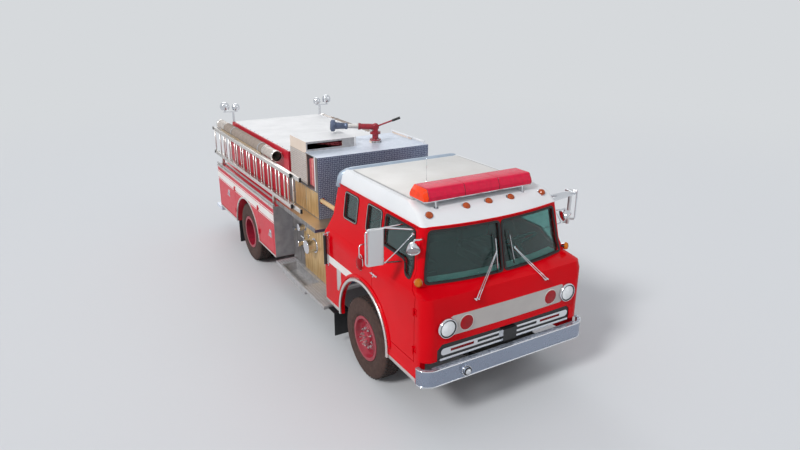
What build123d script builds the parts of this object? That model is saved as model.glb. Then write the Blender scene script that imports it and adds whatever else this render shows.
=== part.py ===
# Fire engine: tilt-cab pumper on two axles, twin rear wheels. Millimetres, +Z up, front towards -Y,
# the right side towards -X. The origin is on the ground under the middle of the whole vehicle.
import os
from math import sqrt

from build123d import *

os.makedirs("parts", exist_ok=True)

# Driving dimensions
OVERALL_LENGTH = 7900.0
FRONT_OVERHANG = 1440.0
WHEELBASE = 4364.0
TYRE_RADIUS = 521.0
TYRE_WIDTH = 262.0
RIM_RADIUS = 254.0
FRONT_TRACK_HALF = 1017.0
REAR_TRACK_HALF = 1046.0
DUAL_SPACING = 305.0
FIT = 0.3
SHUT_GAP = 8.0

FRONT_AXLE = FRONT_OVERHANG - OVERALL_LENGTH / 2
REAR_AXLE = FRONT_AXLE + WHEELBASE
REAR_END = OVERALL_LENGTH / 2
AXLE_Z = TYRE_RADIUS
SIDES = (("right", -1), ("left", 1))


def slab(x0, x1, y0, y1, z0, z1, mode=Mode.ADD):
    """A straight block between two corners, in the part being built."""
    with Locations(((x0 + x1) / 2, (y0 + y1) / 2, (z0 + z1) / 2)):
        Box(abs(x1 - x0), abs(y1 - y0), abs(z1 - z0), mode=mode)


def side_prism(outline, x0, x1, mode=Mode.ADD, radius=0.0):
    """A side-view outline (y, z) made solid from x0 to x1."""
    with BuildSketch(Plane.YZ.offset(min(x0, x1))) as face:
        with BuildLine():
            Polyline(*outline, close=True)
        make_face()
        if radius:
            fillet(face.vertices(), radius)
    extrude(face.sketch, amount=abs(x1 - x0), mode=mode)


def front_prism(outline, y0, y1, mode=Mode.ADD, radius=0.0):
    """A front-view outline (x, z) made solid from y0 back to y1."""
    with BuildSketch(Plane.XZ.offset(-max(y0, y1))) as face:
        with BuildLine():
            Polyline(*outline, close=True)
        make_face()
        if radius:
            fillet(face.vertices(), radius)
    extrude(face.sketch, amount=abs(y1 - y0), mode=mode)


def plan_prism(outline, z0, z1, mode=Mode.ADD, radius=0.0):
    """A top-view outline (x, y) made solid from z0 to z1."""
    with BuildSketch(Plane.XY.offset(min(z0, z1))) as face:
        with BuildLine():
            Polyline(*outline, close=True)
        make_face()
        if radius:
            fillet(face.vertices(), radius)
    extrude(face.sketch, amount=abs(z1 - z0), mode=mode)


def bar(start, end, radius, mode=Mode.ADD):
    """A round bar between two points."""
    direction = Vector(*end) - Vector(*start)
    with BuildSketch(Plane(origin=start, z_dir=direction)) as face:
        Circle(radius)
    extrude(face.sketch, amount=direction.length, mode=mode)


def turned(profile, centre, axis, x_dir, mode=Mode.ADD):
    """A (along, radius) profile turned about an axis through centre."""
    plane = Plane(origin=centre, x_dir=axis, z_dir=x_dir)
    with BuildSketch(plane) as face:
        with BuildLine():
            Polyline(*profile, close=True)
        make_face()
    revolve(face.sketch, axis=Axis(centre, axis), mode=mode)


HINGE_BARREL = 11.0
HINGE_WIRE = 6.0
HINGE_LEAF = 46.0


def hinge_on_frame(side, skin, y, z, reach):
    """A hinge's pin, outer knuckles and leaf, on the skin ahead (-1) or behind (1) of the gap."""
    x = side * (skin + HINGE_BARREL + 2)
    bar((x, y, z - 40), (x, y, z + 40), HINGE_WIRE)
    for low in (z - 40, z + 16):
        bar((x, y, low), (x, y, low + 24), HINGE_BARREL)
        slab(side * (skin - 5), side * (skin + 7), y, y + reach * HINGE_LEAF, low, low + 24)


def hinge_on_door(side, skin, y, z, reach):
    """The middle knuckle and leaf of a hinge, on the door's skin, turning on the pin."""
    x = side * (skin + HINGE_BARREL + 2)
    slab(side * (skin - 5), side * (skin + 7), y, y + reach * HINGE_LEAF, z - 14, z + 14)
    bar((x, y, z - 14), (x, y, z + 14), HINGE_BARREL)
    bar((x, y, z - 15), (x, y, z + 15), HINGE_WIRE + FIT, Mode.SUBTRACT)


def write(part, name):
    """Label a finished piece and write it."""
    part.label = name
    export_step(part, "parts/" + name + ".step")


# Cab: levels from the sill to the crown of the roof. Columns: height, half width, front at the
# middle, front at the corner, corner x, where the side starts, rear. Lengths from the front axle.
CAB_LOW = 558.0
CAB_HALF = 1131.0
CAB_FRONT = -1335.0
CAB_REAR = 1190.0
CAB_WALL = 45.0
COWL_Z = 1628.0
DRIP_Z = 2240.0
ROOF_Z = 2418.0
REAR_CORNER = 60.0
LOWER_LEVELS = (
    (CAB_LOW, CAB_HALF, CAB_FRONT, CAB_FRONT + 17, 985.0, -1190.0, CAB_REAR),
    (1490.0, CAB_HALF, CAB_FRONT, CAB_FRONT + 17, 985.0, -1190.0, CAB_REAR),
    (1575.0, CAB_HALF - 12, CAB_FRONT + 20, CAB_FRONT + 45, 980.0, -1165.0, CAB_REAR),
    (COWL_Z, 1080.0, -1192.0, -1062.0, 985.0, -985.0, CAB_REAR - 5),
)
UPPER_LEVELS = (
    (COWL_Z, 1080.0, -1192.0, -1062.0, 985.0, -985.0, CAB_REAR - 5),
    (1790.0, 1003.0, -1155.0, -1018.0, 948.0, -960.0, CAB_REAR - 30),
    (DRIP_Z, 945.0, -1054.0, -955.0, 879.0, -890.0, CAB_REAR - 105),
)
ROOF_LEVELS = (
    (DRIP_Z, 945.0, -1054.0, -955.0, 879.0, -890.0, CAB_REAR - 105),
    (2350.0, 922.0, -905.0, -835.0, 850.0, -775.0, CAB_REAR - 130),
    (ROOF_Z, 872.0, -640.0, -590.0, 800.0, -540.0, CAB_REAR - 190),
)


def cab_level(level, inset, lift=0.0):
    """One closed plan outline of the cab, pulled in by inset."""
    z, half, front, corner_front, corner_x, side_start, rear = level
    half, corner_x = half - inset, corner_x - inset * 0.6
    front, corner_front = FRONT_AXLE + front + inset, FRONT_AXLE + corner_front + inset
    side_start, rear = FRONT_AXLE + side_start + inset * 0.6, FRONT_AXLE + rear - inset
    turn = (1 - sqrt(0.5)) * 0.9
    bend_x = half - (half - corner_x) * turn
    bend_y = corner_front + (side_start - corner_front) * turn
    round_in = REAR_CORNER * (1 - sqrt(0.5))
    with BuildSketch(Plane.XY.offset(z + lift)) as face:
        with BuildLine():
            ThreePointArc((-corner_x, corner_front), (0, front), (corner_x, corner_front))
            ThreePointArc((corner_x, corner_front), (bend_x, bend_y), (half, side_start))
            Line((half, side_start), (half, rear - REAR_CORNER))
            ThreePointArc((half, rear - REAR_CORNER), (half - round_in, rear - round_in),
                          (half - REAR_CORNER, rear))
            Line((half - REAR_CORNER, rear), (REAR_CORNER - half, rear))
            ThreePointArc((REAR_CORNER - half, rear), (round_in - half, rear - round_in),
                          (-half, rear - REAR_CORNER))
            Line((-half, rear - REAR_CORNER), (-half, side_start))
            ThreePointArc((-half, side_start), (-bend_x, bend_y), (-corner_x, corner_front))
        make_face()
    return face.sketch


def cab_block(levels, inset, mode=Mode.ADD, bottom_drop=0.0, top_lift=0.0):
    """The cab's form between levels, one straight loft for each pair."""
    last = len(levels) - 2
    for i in range(len(levels) - 1):
        below = cab_level(levels[i], inset, -bottom_drop if i == 0 else 0.0)
        above = cab_level(levels[i + 1], inset, top_lift if i == last else 0.0)
        loft([below, above], ruled=True, mode=mode)


# Openings in the cab, side view (y from the front axle, z)
ARCH_Y = 57.0
ARCH_Z = 629.0
ARCH_RADIUS = 604.0
ARCH_TRIM = 38.0
DOOR_FOOT = 805.0
DOOR_FRONT = -1120.0
DOOR_REAR = -190.0
DOOR_TOP = 2212.0
DOOR_ARCH_RADIUS = 700.0
DOOR_HINGE_Y = FRONT_AXLE + DOOR_FRONT - SHUT_GAP / 2
DOOR_HINGES = (950.0, 1400.0)
WINDOW_TOP = 2190.0
DOOR_WINDOW = ((-225, 1830), (-225, WINDOW_TOP), (-842, WINDOW_TOP), (-912, 1672),
               (-800, 1690), (-700, 1822))
MID_WINDOW = ((-137, 1870), (-137, WINDOW_TOP), (205, WINDOW_TOP), (205, 1862))
REAR_WINDOW = ((455, 1857), (455, 2183), (805, 2183), (805, 1848))
BACK_WINDOW_HALF = 520.0
SCREEN_HALF_LOW = 962.0
SCREEN_HALF_TOP = 866.0
SCREEN_LOW = 1652.0
SCREEN_TOP = 2196.0
SCREEN_POST = 18.0
WINDOW_ROUND = 38.0
GRILLE_HALF = 960.0
GRILLE_LOW = 850.0
GRILLE_TOP = 1040.0
SKIRT_FRONT = -1237.0
GLASS_DEPTH = 18.0
GLASS_THICK = 6.0


def shifted(outline):
    """Side-view points moved from the front axle to the vehicle's frame."""
    return [(FRONT_AXLE + y, z) for y, z in outline]


def door_prism(x0, x1, grow, mode):
    """The door's outline, grown by a gap, from x0 to x1."""
    drop = DOOR_FOOT - ARCH_Z
    arch_start = ARCH_Y - sqrt(DOOR_ARCH_RADIUS ** 2 - drop ** 2)
    arch_end = ARCH_Z + sqrt(DOOR_ARCH_RADIUS ** 2 - (DOOR_REAR - ARCH_Y) ** 2)
    middle_y = ARCH_Y - DOOR_ARCH_RADIUS * 0.72
    middle_z = ARCH_Z + sqrt(DOOR_ARCH_RADIUS ** 2 - (middle_y - ARCH_Y) ** 2)
    with BuildSketch(Plane.YZ.offset(min(x0, x1))) as face:
        with BuildLine():
            Line((FRONT_AXLE + DOOR_FRONT, DOOR_FOOT), (FRONT_AXLE + arch_start, DOOR_FOOT))
            ThreePointArc((FRONT_AXLE + arch_start, DOOR_FOOT), (FRONT_AXLE + middle_y, middle_z),
                          (FRONT_AXLE + DOOR_REAR, arch_end))
            Polyline(*shifted(((DOOR_REAR, arch_end), (DOOR_REAR, DOOR_TOP), (-882, DOOR_TOP),
                               (-972, 1655), (-1012, 1606), (DOOR_FRONT, 1562),
                               (DOOR_FRONT, DOOR_FOOT))))
        make_face()
        if grow:
            offset(amount=grow, kind=Kind.INTERSECTION)
    extrude(face.sketch, amount=abs(x1 - x0), mode=mode)


def window_prism(outline, side, trim, mode):
    """A side window's outline, made smaller by trim, through one side of the cab."""
    with BuildSketch(Plane.YZ.offset(min(side * 700, side * 1200))) as face:
        with BuildLine():
            Polyline(*shifted(outline), close=True)
        make_face()
        fillet(face.vertices(), WINDOW_ROUND)
        if trim:
            offset(amount=-trim)
    extrude(face.sketch, amount=500, mode=mode)


def screen_prism(side, trim, mode):
    """One half of the windscreen opening, seen from the front."""
    outline = ((side * SCREEN_POST, SCREEN_LOW), (side * SCREEN_HALF_LOW, SCREEN_LOW),
               (side * SCREEN_HALF_TOP, SCREEN_TOP), (side * SCREEN_POST, SCREEN_TOP))
    with BuildSketch(Plane.XZ.offset(-(FRONT_AXLE - 870))) as face:
        with BuildLine():
            Polyline(*outline, close=True)
        make_face()
        fillet(face.vertices(), WINDOW_ROUND)
        if trim:
            offset(amount=-trim)
    extrude(face.sketch, amount=400, mode=mode)


def back_window(trim, mode):
    """The window in the cab's rear wall."""
    half = BACK_WINDOW_HALF
    with BuildSketch(Plane.XZ.offset(-(FRONT_AXLE + CAB_REAR + 50))) as face:
        with BuildLine():
            Polyline((-half, 1870), (half, 1870), (half, 2170), (-half, 2170), close=True)
        make_face()
        fillet(face.vertices(), WINDOW_ROUND)
        if trim:
            offset(amount=-trim)
    extrude(face.sketch, amount=300, mode=mode)


def rear_jamb(side):
    """The slope behind the door's window frame that lets its inner edge swing out."""
    y = FRONT_AXLE + DOOR_REAR + SHUT_GAP - 1
    sections = []
    for z, outer in ((1480.0, 1140.0), (DOOR_TOP + SHUT_GAP, 965.0)):
        with BuildSketch(Plane.XY.offset(z)) as face:
            with BuildLine():
                Polyline((side * outer, y), (side * (outer - 230), y + 50), (side * (outer - 230), y),
                         close=True)
            make_face()
        sections.append(face.sketch)
    loft(sections, ruled=True, mode=Mode.SUBTRACT)


# Lower cab body: front face, sides with the wheel arches and doors cut out, rear wall
with BuildPart() as cab_body:
    cab_block(LOWER_LEVELS, 0.0)
    cab_block(LOWER_LEVELS, CAB_WALL, Mode.SUBTRACT, 5.0, 0.0)
    bar((-1300, FRONT_AXLE + ARCH_Y, ARCH_Z), (1300, FRONT_AXLE + ARCH_Y, ARCH_Z), ARCH_RADIUS,
        Mode.SUBTRACT)
    slab(-1200, 1200, FRONT_AXLE + ARCH_Y - ARCH_RADIUS + 5, FRONT_AXLE + ARCH_Y + ARCH_RADIUS - 5,
         CAB_LOW - 50, ARCH_Z - 20, Mode.SUBTRACT)
    slab(-1200, 1200, FRONT_AXLE + CAB_FRONT - 50, FRONT_AXLE + SKIRT_FRONT, CAB_LOW - 50,
         GRILLE_LOW, Mode.SUBTRACT)
    front_prism(((-GRILLE_HALF, GRILLE_LOW - 5), (GRILLE_HALF, GRILLE_LOW - 5),
                 (GRILLE_HALF, GRILLE_TOP - 60), (GRILLE_HALF - 60, GRILLE_TOP),
                 (60 - GRILLE_HALF, GRILLE_TOP), (-GRILLE_HALF, GRILLE_TOP - 60)),
                FRONT_AXLE + CAB_FRONT - 20, FRONT_AXLE + CAB_FRONT + 90, Mode.SUBTRACT)
    slab(-900, 900, FRONT_AXLE + CAB_REAR - 100, FRONT_AXLE + CAB_REAR + 50, CAB_LOW - 10, 1240,
         Mode.SUBTRACT)
    for name, side in SIDES:
        door_prism(side * 1000, side * 1200, SHUT_GAP, Mode.SUBTRACT)
        rear_jamb(side)
        for z in DOOR_HINGES:
            hinge_on_frame(side, CAB_HALF, DOOR_HINGE_Y, z, -1)
write(cab_body.part, "cab_body")

# Cab above the belt: pillars and window frames
with BuildPart() as greenhouse:
    cab_block(UPPER_LEVELS, 0.0)
    cab_block(UPPER_LEVELS, CAB_WALL, Mode.SUBTRACT)
    for name, side in SIDES:
        screen_prism(side, 0.0, Mode.SUBTRACT)
        for outline in (MID_WINDOW, REAR_WINDOW):
            window_prism(outline, side, 0.0, Mode.SUBTRACT)
        door_prism(side * 700, side * 1200, SHUT_GAP, Mode.SUBTRACT)
        rear_jamb(side)
    back_window(0.0, Mode.SUBTRACT)
write(greenhouse.part, "cab_greenhouse")

with BuildPart() as roof:
    cab_block(ROOF_LEVELS, 0.0)
    cab_block(ROOF_LEVELS, CAB_WALL, Mode.SUBTRACT, 0.0, -CAB_WALL)
write(roof.part, "cab_roof")

# Fixed panes: a thin layer of the cab's form, kept inside the window openings
with BuildPart() as pane_forms:
    for name, side in SIDES:
        screen_prism(side, FIT, Mode.ADD)
        for outline in (MID_WINDOW, REAR_WINDOW):
            window_prism(outline, side, FIT, Mode.ADD)
    back_window(FIT, Mode.ADD)
with BuildPart() as cab_glass:
    cab_block(UPPER_LEVELS, GLASS_DEPTH)
    cab_block(UPPER_LEVELS, GLASS_DEPTH + GLASS_THICK, Mode.SUBTRACT)
    add(pane_forms.part, mode=Mode.INTERSECT)
write(cab_glass.part, "cab_glass")

# Doors: the whole thickness of the cab wall inside the door's outline
for name, side in SIDES:
    with BuildPart() as door_form:
        door_prism(side * 700, side * 1200, 0.0, Mode.ADD)
    with BuildPart() as door:
        cab_block(LOWER_LEVELS, 0.0)
        cab_block(UPPER_LEVELS, 0.0)
        cab_block(LOWER_LEVELS, CAB_WALL, Mode.SUBTRACT, 5.0)
        cab_block(UPPER_LEVELS, CAB_WALL, Mode.SUBTRACT)
        add(door_form.part, mode=Mode.INTERSECT)
        window_prism(DOOR_WINDOW, side, 0.0, Mode.SUBTRACT)
        for z in DOOR_HINGES:
            hinge_on_door(side, CAB_HALF, DOOR_HINGE_Y, z, 1)
    write(door.part, "door_" + name)
    with BuildPart() as pane_form:
        window_prism(DOOR_WINDOW, side, FIT, Mode.ADD)
    with BuildPart() as pane:
        cab_block(LOWER_LEVELS, GLASS_DEPTH)
        cab_block(UPPER_LEVELS, GLASS_DEPTH)
        cab_block(LOWER_LEVELS, GLASS_DEPTH + GLASS_THICK, Mode.SUBTRACT, 5.0)
        cab_block(UPPER_LEVELS, GLASS_DEPTH + GLASS_THICK, Mode.SUBTRACT)
        add(pane_form.part, mode=Mode.INTERSECT)
    write(pane.part, "door_glass_" + name)

# Cab floor: a low front floor, a riser and a raised floor over the front wheels
FLOOR_THICK = 40.0
FRONT_FLOOR = 1000.0
REAR_FLOOR = 1290.0
RISER = -600.0
HINGE_Y = -1300.0
HINGE_Z = 705.0
HINGE_PIN = 15.0
ARM_INNER = 440.0
ARM_OUTER = 462.0


# The room between the cab's walls trims what is built into it
with BuildPart() as cab_room:
    cab_block(LOWER_LEVELS, CAB_WALL + FIT)

with BuildPart() as cab_floor:
    side_prism(shifted(((CAB_FRONT, FRONT_FLOOR - FLOOR_THICK), (CAB_FRONT, FRONT_FLOOR),
                        (RISER - FLOOR_THICK, FRONT_FLOOR), (RISER - FLOOR_THICK, REAR_FLOOR),
                        (CAB_REAR, REAR_FLOOR), (CAB_REAR, REAR_FLOOR - FLOOR_THICK),
                        (RISER, REAR_FLOOR - FLOOR_THICK), (RISER, FRONT_FLOOR - FLOOR_THICK))),
               -CAB_HALF, CAB_HALF)
    add(cab_room.part, mode=Mode.INTERSECT)
    for name, side in SIDES:
        slab(side * (CAB_HALF - CAB_WALL - SHUT_GAP), side * CAB_HALF,
             FRONT_AXLE + DOOR_FRONT - 2 * SHUT_GAP, FRONT_AXLE + DOOR_REAR + 2 * SHUT_GAP,
             DOOR_FOOT, REAR_FLOOR + 100, Mode.SUBTRACT)
        side_prism(shifted(((HINGE_Y - 24, HINGE_Z - 24), (HINGE_Y + 185, HINGE_Z - 24),
                            (HINGE_Y + 185, FRONT_FLOOR - FLOOR_THICK),
                            (HINGE_Y + 115, FRONT_FLOOR - FLOOR_THICK),
                            (HINGE_Y + 115, HINGE_Z + 32), (HINGE_Y - 24, HINGE_Z + 32))),
                   side * ARM_INNER, side * ARM_OUTER)
    bar((-ARM_OUTER - 5, FRONT_AXLE + HINGE_Y, HINGE_Z), (ARM_OUTER + 5, FRONT_AXLE + HINGE_Y, HINGE_Z),
        HINGE_PIN + FIT, Mode.SUBTRACT)
write(cab_floor.part, "cab_floor")

# Seats: two in front, a bench across the back
SEAT_X = 560.0
SEAT_HALF = 240.0
with BuildPart() as seats:
    for name, side in SIDES:
        side_prism(shifted(((-400, REAR_FLOOR + FIT), (-400, 1520), (70, 1500), (110, 2010),
                            (190, 2010), (190, REAR_FLOOR + FIT))),
                   side * SEAT_X - SEAT_HALF, side * SEAT_X + SEAT_HALF)
    side_prism(shifted(((640, REAR_FLOOR + FIT), (640, 1530), (1010, 1510), (1040, 1620),
                        (1100, 1620), (1100, REAR_FLOOR + FIT))), -960, 960)
write(seats.part, "cab_seats")

# Dashboard with the steering column and wheel on the left
WHEEL_CENTRE = (SEAT_X, FRONT_AXLE - 740, 1745)
with BuildPart() as dashboard:
    side_prism(shifted(((CAB_FRONT, 1390), (-1010, 1390), (-985, 1430), (-1050, 1600),
                        (CAB_FRONT, 1600))), -1000, 1000)
    add(cab_room.part, mode=Mode.INTERSECT)
    column = Plane(origin=WHEEL_CENTRE, z_dir=(0, 0.62, 0.78))
    bar((SEAT_X, FRONT_AXLE - 1040, 1480), WHEEL_CENTRE, 24)
    with Locations(column):
        Torus(235, 15)
        Cylinder(60, 30)
    with Locations(column):
        Box(2 * 235, 24, 12)
        Box(24, 2 * 235, 12)
write(dashboard.part, "dashboard")

# Grille: backing plate, rounded frame, slotted main bar, lower bar and the speaker box
GRILLE_BACK = -1298.0
GRILLE_FACE = -1326.0
with BuildPart() as grille:
    outline = ((-GRILLE_HALF + FIT, GRILLE_LOW), (GRILLE_HALF - FIT, GRILLE_LOW),
               (GRILLE_HALF - FIT, GRILLE_TOP - 60), (GRILLE_HALF - 60, GRILLE_TOP - FIT),
               (60 - GRILLE_HALF, GRILLE_TOP - FIT), (-GRILLE_HALF + FIT, GRILLE_TOP - 60))
    front_prism(outline, FRONT_AXLE + GRILLE_BACK - 6, FRONT_AXLE + GRILLE_BACK)
    for low, high, half in ((GRILLE_LOW, 876, 930), (908, 990, 915)):
        front_prism(((-half, low), (half, low), (half, high), (-half, high)),
                    FRONT_AXLE + GRILLE_FACE, FRONT_AXLE + GRILLE_BACK - 3, Mode.ADD,
                    (high - low) / 2 - 2)
    for start, end in ((-790, -480), (-430, -130), (130, 430), (480, 790)):
        slab(start, end, FRONT_AXLE + GRILLE_FACE - 5, FRONT_AXLE + GRILLE_BACK - 8, 934, 966,
             Mode.SUBTRACT)
    slab(-98, 98, FRONT_AXLE + GRILLE_FACE - 36, FRONT_AXLE + GRILLE_BACK - 3, 862, 1008)
write(grille.part, "grille")

# Lamps on the front face: headlamps with bezels, the red lamps beside them, and a spotlight on each
# front pillar. The spotlight's profile is (forward from its tail, radius).
HEADLAMP_X = 857.0
RED_LAMP_X = 602.0
LAMP_Z = 1236.0
SPOT_X = 1052.0
SPOT_Y = FRONT_AXLE - 900
SPOT_Z = 2035.0
SPOT_PROFILE = ((0, 0), (2, 14), (30, 42), (78, 64), (118, 70), (134, 68), (134, 60), (126, 0))


def face_y(x):
    """Where the cab's bowed front face lies at x, from the front axle."""
    return CAB_FRONT + 17 * (x / 985.0) ** 2


with BuildPart() as lamps:
    for name, side in SIDES:
        for x, reach, size in ((HEADLAMP_X, 48, 98), (RED_LAMP_X, 26, 84)):
            back = FRONT_AXLE + face_y(x - size) - FIT
            turned(((0, 0), (0, size), (reach * 0.55, size), (reach * 0.85, size - 12),
                    (reach * 0.85, size - 20), (reach, 0)), (side * x, back, LAMP_Z), (0, -1, 0),
                   (1, 0, 0))
        turned(SPOT_PROFILE, (side * SPOT_X, SPOT_Y, SPOT_Z), (0, -1, 0), (1, 0, 0))
        bar((side * SPOT_X, SPOT_Y - 62, SPOT_Z), (side * 915, SPOT_Y - 40, SPOT_Z), 12)
    cab_block(UPPER_LEVELS, -FIT, Mode.SUBTRACT)
write(lamps.part, "cab_lamps")

with BuildPart() as arch_trims:
    for name, side in SIDES:
        centre = (side * (CAB_HALF + FIT), FRONT_AXLE + ARCH_Y, ARCH_Z)
        far = (side * (CAB_HALF + 28), FRONT_AXLE + ARCH_Y, ARCH_Z)
        bar(centre, far, ARCH_RADIUS + ARCH_TRIM)
        bar(centre, far, ARCH_RADIUS, Mode.SUBTRACT)
    slab(-1300, 1300, FRONT_AXLE + ARCH_Y - 800, FRONT_AXLE + ARCH_Y + 800, -100, CAB_LOW,
         Mode.SUBTRACT)
write(arch_trims.part, "arch_trims")

# Grab handles at the cab's rear corners: a thick grip between two stand-off stems
GRIP_X = CAB_HALF + 42
GRIP_Y = FRONT_AXLE + 1032
GRIP_LOW = 1150.0
GRIP_TOP = 1560.0
with BuildPart() as cab_handles:
    for name, side in SIDES:
        bar((side * GRIP_X, GRIP_Y, GRIP_LOW), (side * GRIP_X, GRIP_Y, GRIP_TOP), 23)
        for z in (GRIP_LOW - 8, GRIP_TOP + 8):
            bar((side * (CAB_HALF - 40), GRIP_Y, z), (side * (GRIP_X + 14), GRIP_Y, z), 15)
            bar((side * (CAB_HALF - 40), GRIP_Y, z), (side * (CAB_HALF + 6), GRIP_Y, z), 26)
    cab_block(LOWER_LEVELS, -FIT, Mode.SUBTRACT)
write(cab_handles.part, "cab_handles")

# Light bar on four feet that follow the roof
BAR_HALF = 765.0
BAR_FRONT = -800.0
BAR_BACK = -470.0
BAR_LOW = 2450.0
BAR_TOP = 2585.0
with BuildPart() as light_bar:
    side_prism(shifted(((BAR_FRONT, BAR_LOW), (BAR_BACK, BAR_LOW), (BAR_BACK, BAR_TOP),
                        (BAR_FRONT, BAR_TOP))), -BAR_HALF, BAR_HALF, Mode.ADD, 42)
    for x in (-620, 620):
        for y in (BAR_FRONT + 30, BAR_BACK - 30):
            slab(x - 30, x + 30, FRONT_AXLE + y - 18, FRONT_AXLE + y + 18, 2330, BAR_LOW + 20)
    cab_block(ROOF_LEVELS, -FIT, Mode.SUBTRACT, 0.0, FIT)
write(light_bar.part, "light_bar")

# Mirrors on the doors: a tube loop round the head, with arms to the top and foot of the window
MIRROR_Y = FRONT_AXLE - 750
MIRROR_OUT = 1500.0
MIRROR_IN = 1262.0
MIRROR_LOW = 1850.0
MIRROR_TOP = 2245.0
MIRROR_WIDE = 176.0
MIRROR_DEEP = 46.0
MIRROR_TURN = {"right": 8.0, "left": 38.0}
TUBE = 10.0


def tube(points, radius, bend, mode=Mode.ADD):
    """A round tube along straight runs with round bends."""
    with BuildLine() as path:
        FilletPolyline(*points, radius=bend)
    with BuildSketch(Plane(origin=points[0], z_dir=path.line % 0)) as face:
        Circle(radius)
    sweep(face.sketch, path=path.line, mode=mode)


for name, side in SIDES:
    with BuildPart() as mirror:
        tube(((side * 900, FRONT_AXLE - 826, 2176), (side * (MIRROR_IN + 20), MIRROR_Y, MIRROR_TOP),
              (side * MIRROR_OUT, MIRROR_Y, MIRROR_TOP), (side * MIRROR_OUT, MIRROR_Y, MIRROR_LOW),
              (side * MIRROR_IN, MIRROR_Y, MIRROR_LOW),
              (side * 980, FRONT_AXLE - 660, 1770)), TUBE, 42)
        bar((side * 910, FRONT_AXLE - 594, 2174), (side * (MIRROR_IN + 20), MIRROR_Y, MIRROR_TOP), TUBE)
        turn = Plane(origin=(side * (MIRROR_IN + MIRROR_OUT) / 2, MIRROR_Y, MIRROR_LOW - 4))
        with BuildSketch(turn.rotated((0, 0, -MIRROR_TURN[name]))) as head:
            RectangleRounded(MIRROR_WIDE, MIRROR_DEEP, 18)
        extrude(head.sketch, amount=MIRROR_TOP - MIRROR_LOW + 8)
        flank = [(side * (level[1] + FIT), level[0]) for level in UPPER_LEVELS]
        front_prism([(0, COWL_Z)] + flank + [(0, DRIP_Z)], FRONT_AXLE - 900, FRONT_AXLE - 500,
                    Mode.SUBTRACT)
    write(mirror.part, "mirror_" + name)

# Chassis frame: two channels, crossmembers and the cab hinge pins
RAIL_OUT = 430.0
RAIL_IN = 355.0
RAIL_LOW = 690.0
RAIL_TOP = 925.0
RAIL_WALL = 10.0
BUMPER_TOP = 804.0
RAIL_FRONT = FRONT_AXLE - 1330
BODY_FRONT = FRONT_AXLE + 2929
STEP_DEPTH = 373.0
BODY_REAR = REAR_END - STEP_DEPTH
BODY_HALF = 1209.0
with BuildPart() as frame_rails:
    for name, side in SIDES:
        slab(side * RAIL_IN, side * RAIL_OUT, RAIL_FRONT, BODY_REAR - 10, RAIL_LOW, RAIL_TOP)
        slab(side * (RAIL_IN - 1), side * (RAIL_OUT - RAIL_WALL), RAIL_FRONT - 1, BODY_REAR,
             RAIL_LOW + RAIL_WALL, RAIL_TOP - RAIL_WALL, Mode.SUBTRACT)
        slab(side * (RAIL_IN - 1), side * (RAIL_OUT + 1), RAIL_FRONT - 1, RAIL_FRONT + 90,
             BUMPER_TOP - 10, RAIL_TOP + 1, Mode.SUBTRACT)
        bar((side * (RAIL_OUT - 5), FRONT_AXLE + HINGE_Y, HINGE_Z),
            (side * (ARM_OUTER + 8), FRONT_AXLE + HINGE_Y, HINGE_Z), HINGE_PIN)
    for y in (-1240, 1000, 2700, 3700, 5050, 5950):
        slab(-RAIL_OUT + 5, RAIL_OUT - 5, FRONT_AXLE + y - 40, FRONT_AXLE + y + 40,
             RAIL_LOW + 62, RAIL_TOP - 60)
write(frame_rails.part, "frame_rails")

# Front axle: dropped beam with kingpin bosses, spring packs up to the rails
KINGPIN_X = 880.0
KINGPIN = 18.0
BOSS_LOW = 482.0
BOSS_TOP = 560.0


def spring_pack(side, y, low, eye, half_length, rise):
    """An arched leaf spring under a rail, with hangers at both ends."""
    x0, x1 = side * (RAIL_IN + 5), side * (RAIL_OUT - 5)
    side_prism(((y - half_length, eye - 15), (y, low), (y + half_length, eye - 15),
                (y + half_length, eye + 15), (y, low + rise), (y - half_length, eye + 15)), x0, x1)
    for end in (y - half_length, y + half_length):
        slab(x0, x1, end - 25, end + 25, eye - 20, RAIL_LOW - FIT)


with BuildPart() as front_axle:
    front_prism(((-835, 485), (-700, 455), (-560, 395), (560, 395), (700, 455), (835, 485),
                 (835, 558), (700, 530), (560, 475), (-560, 475), (-700, 530), (-835, 558)),
                FRONT_AXLE - 42, FRONT_AXLE + 42)
    for name, side in SIDES:
        bar((side * KINGPIN_X, FRONT_AXLE, BOSS_LOW), (side * KINGPIN_X, FRONT_AXLE, BOSS_TOP), 46)
        bar((side * KINGPIN_X, FRONT_AXLE, BOSS_LOW - 5),
            (side * KINGPIN_X, FRONT_AXLE, BOSS_TOP + 5), KINGPIN + FIT, Mode.SUBTRACT)
        spring_pack(side, FRONT_AXLE, 470, 640, 620, 75)
write(front_axle.part, "front_axle")

# Rear axle: differential housing, tubes, spindles and springs
SPINDLE = 45.0
with BuildPart() as rear_axle:
    bar((-700, REAR_AXLE, AXLE_Z), (700, REAR_AXLE, AXLE_Z), 62)
    bar((-985, REAR_AXLE, AXLE_Z), (985, REAR_AXLE, AXLE_Z), SPINDLE)
    with Locations((0, REAR_AXLE, AXLE_Z)):
        Sphere(195)
    bar((0, REAR_AXLE, AXLE_Z + 60), (0, REAR_AXLE - 330, AXLE_Z + 60), 75)
    bar((0, REAR_AXLE - 300, AXLE_Z + 60), (0, REAR_AXLE - 345 + FIT, AXLE_Z + 60), 45)
    for name, side in SIDES:
        spring_pack(side, REAR_AXLE, 560, 650, 640, 75)
write(rear_axle.part, "rear_axle")

# Engine and gearbox block with the shaft to the rear axle
with BuildPart() as engine:
    slab(-300, 300, FRONT_AXLE - 420, FRONT_AXLE + 520, 640, 1210)
    slab(-200, 200, FRONT_AXLE + 520, FRONT_AXLE + 960, 660, 1050)
    slab(-RAIL_IN + FIT, RAIL_IN - FIT, FRONT_AXLE - 380, FRONT_AXLE - 300, 700, 780)
write(engine.part, "engine")

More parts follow.
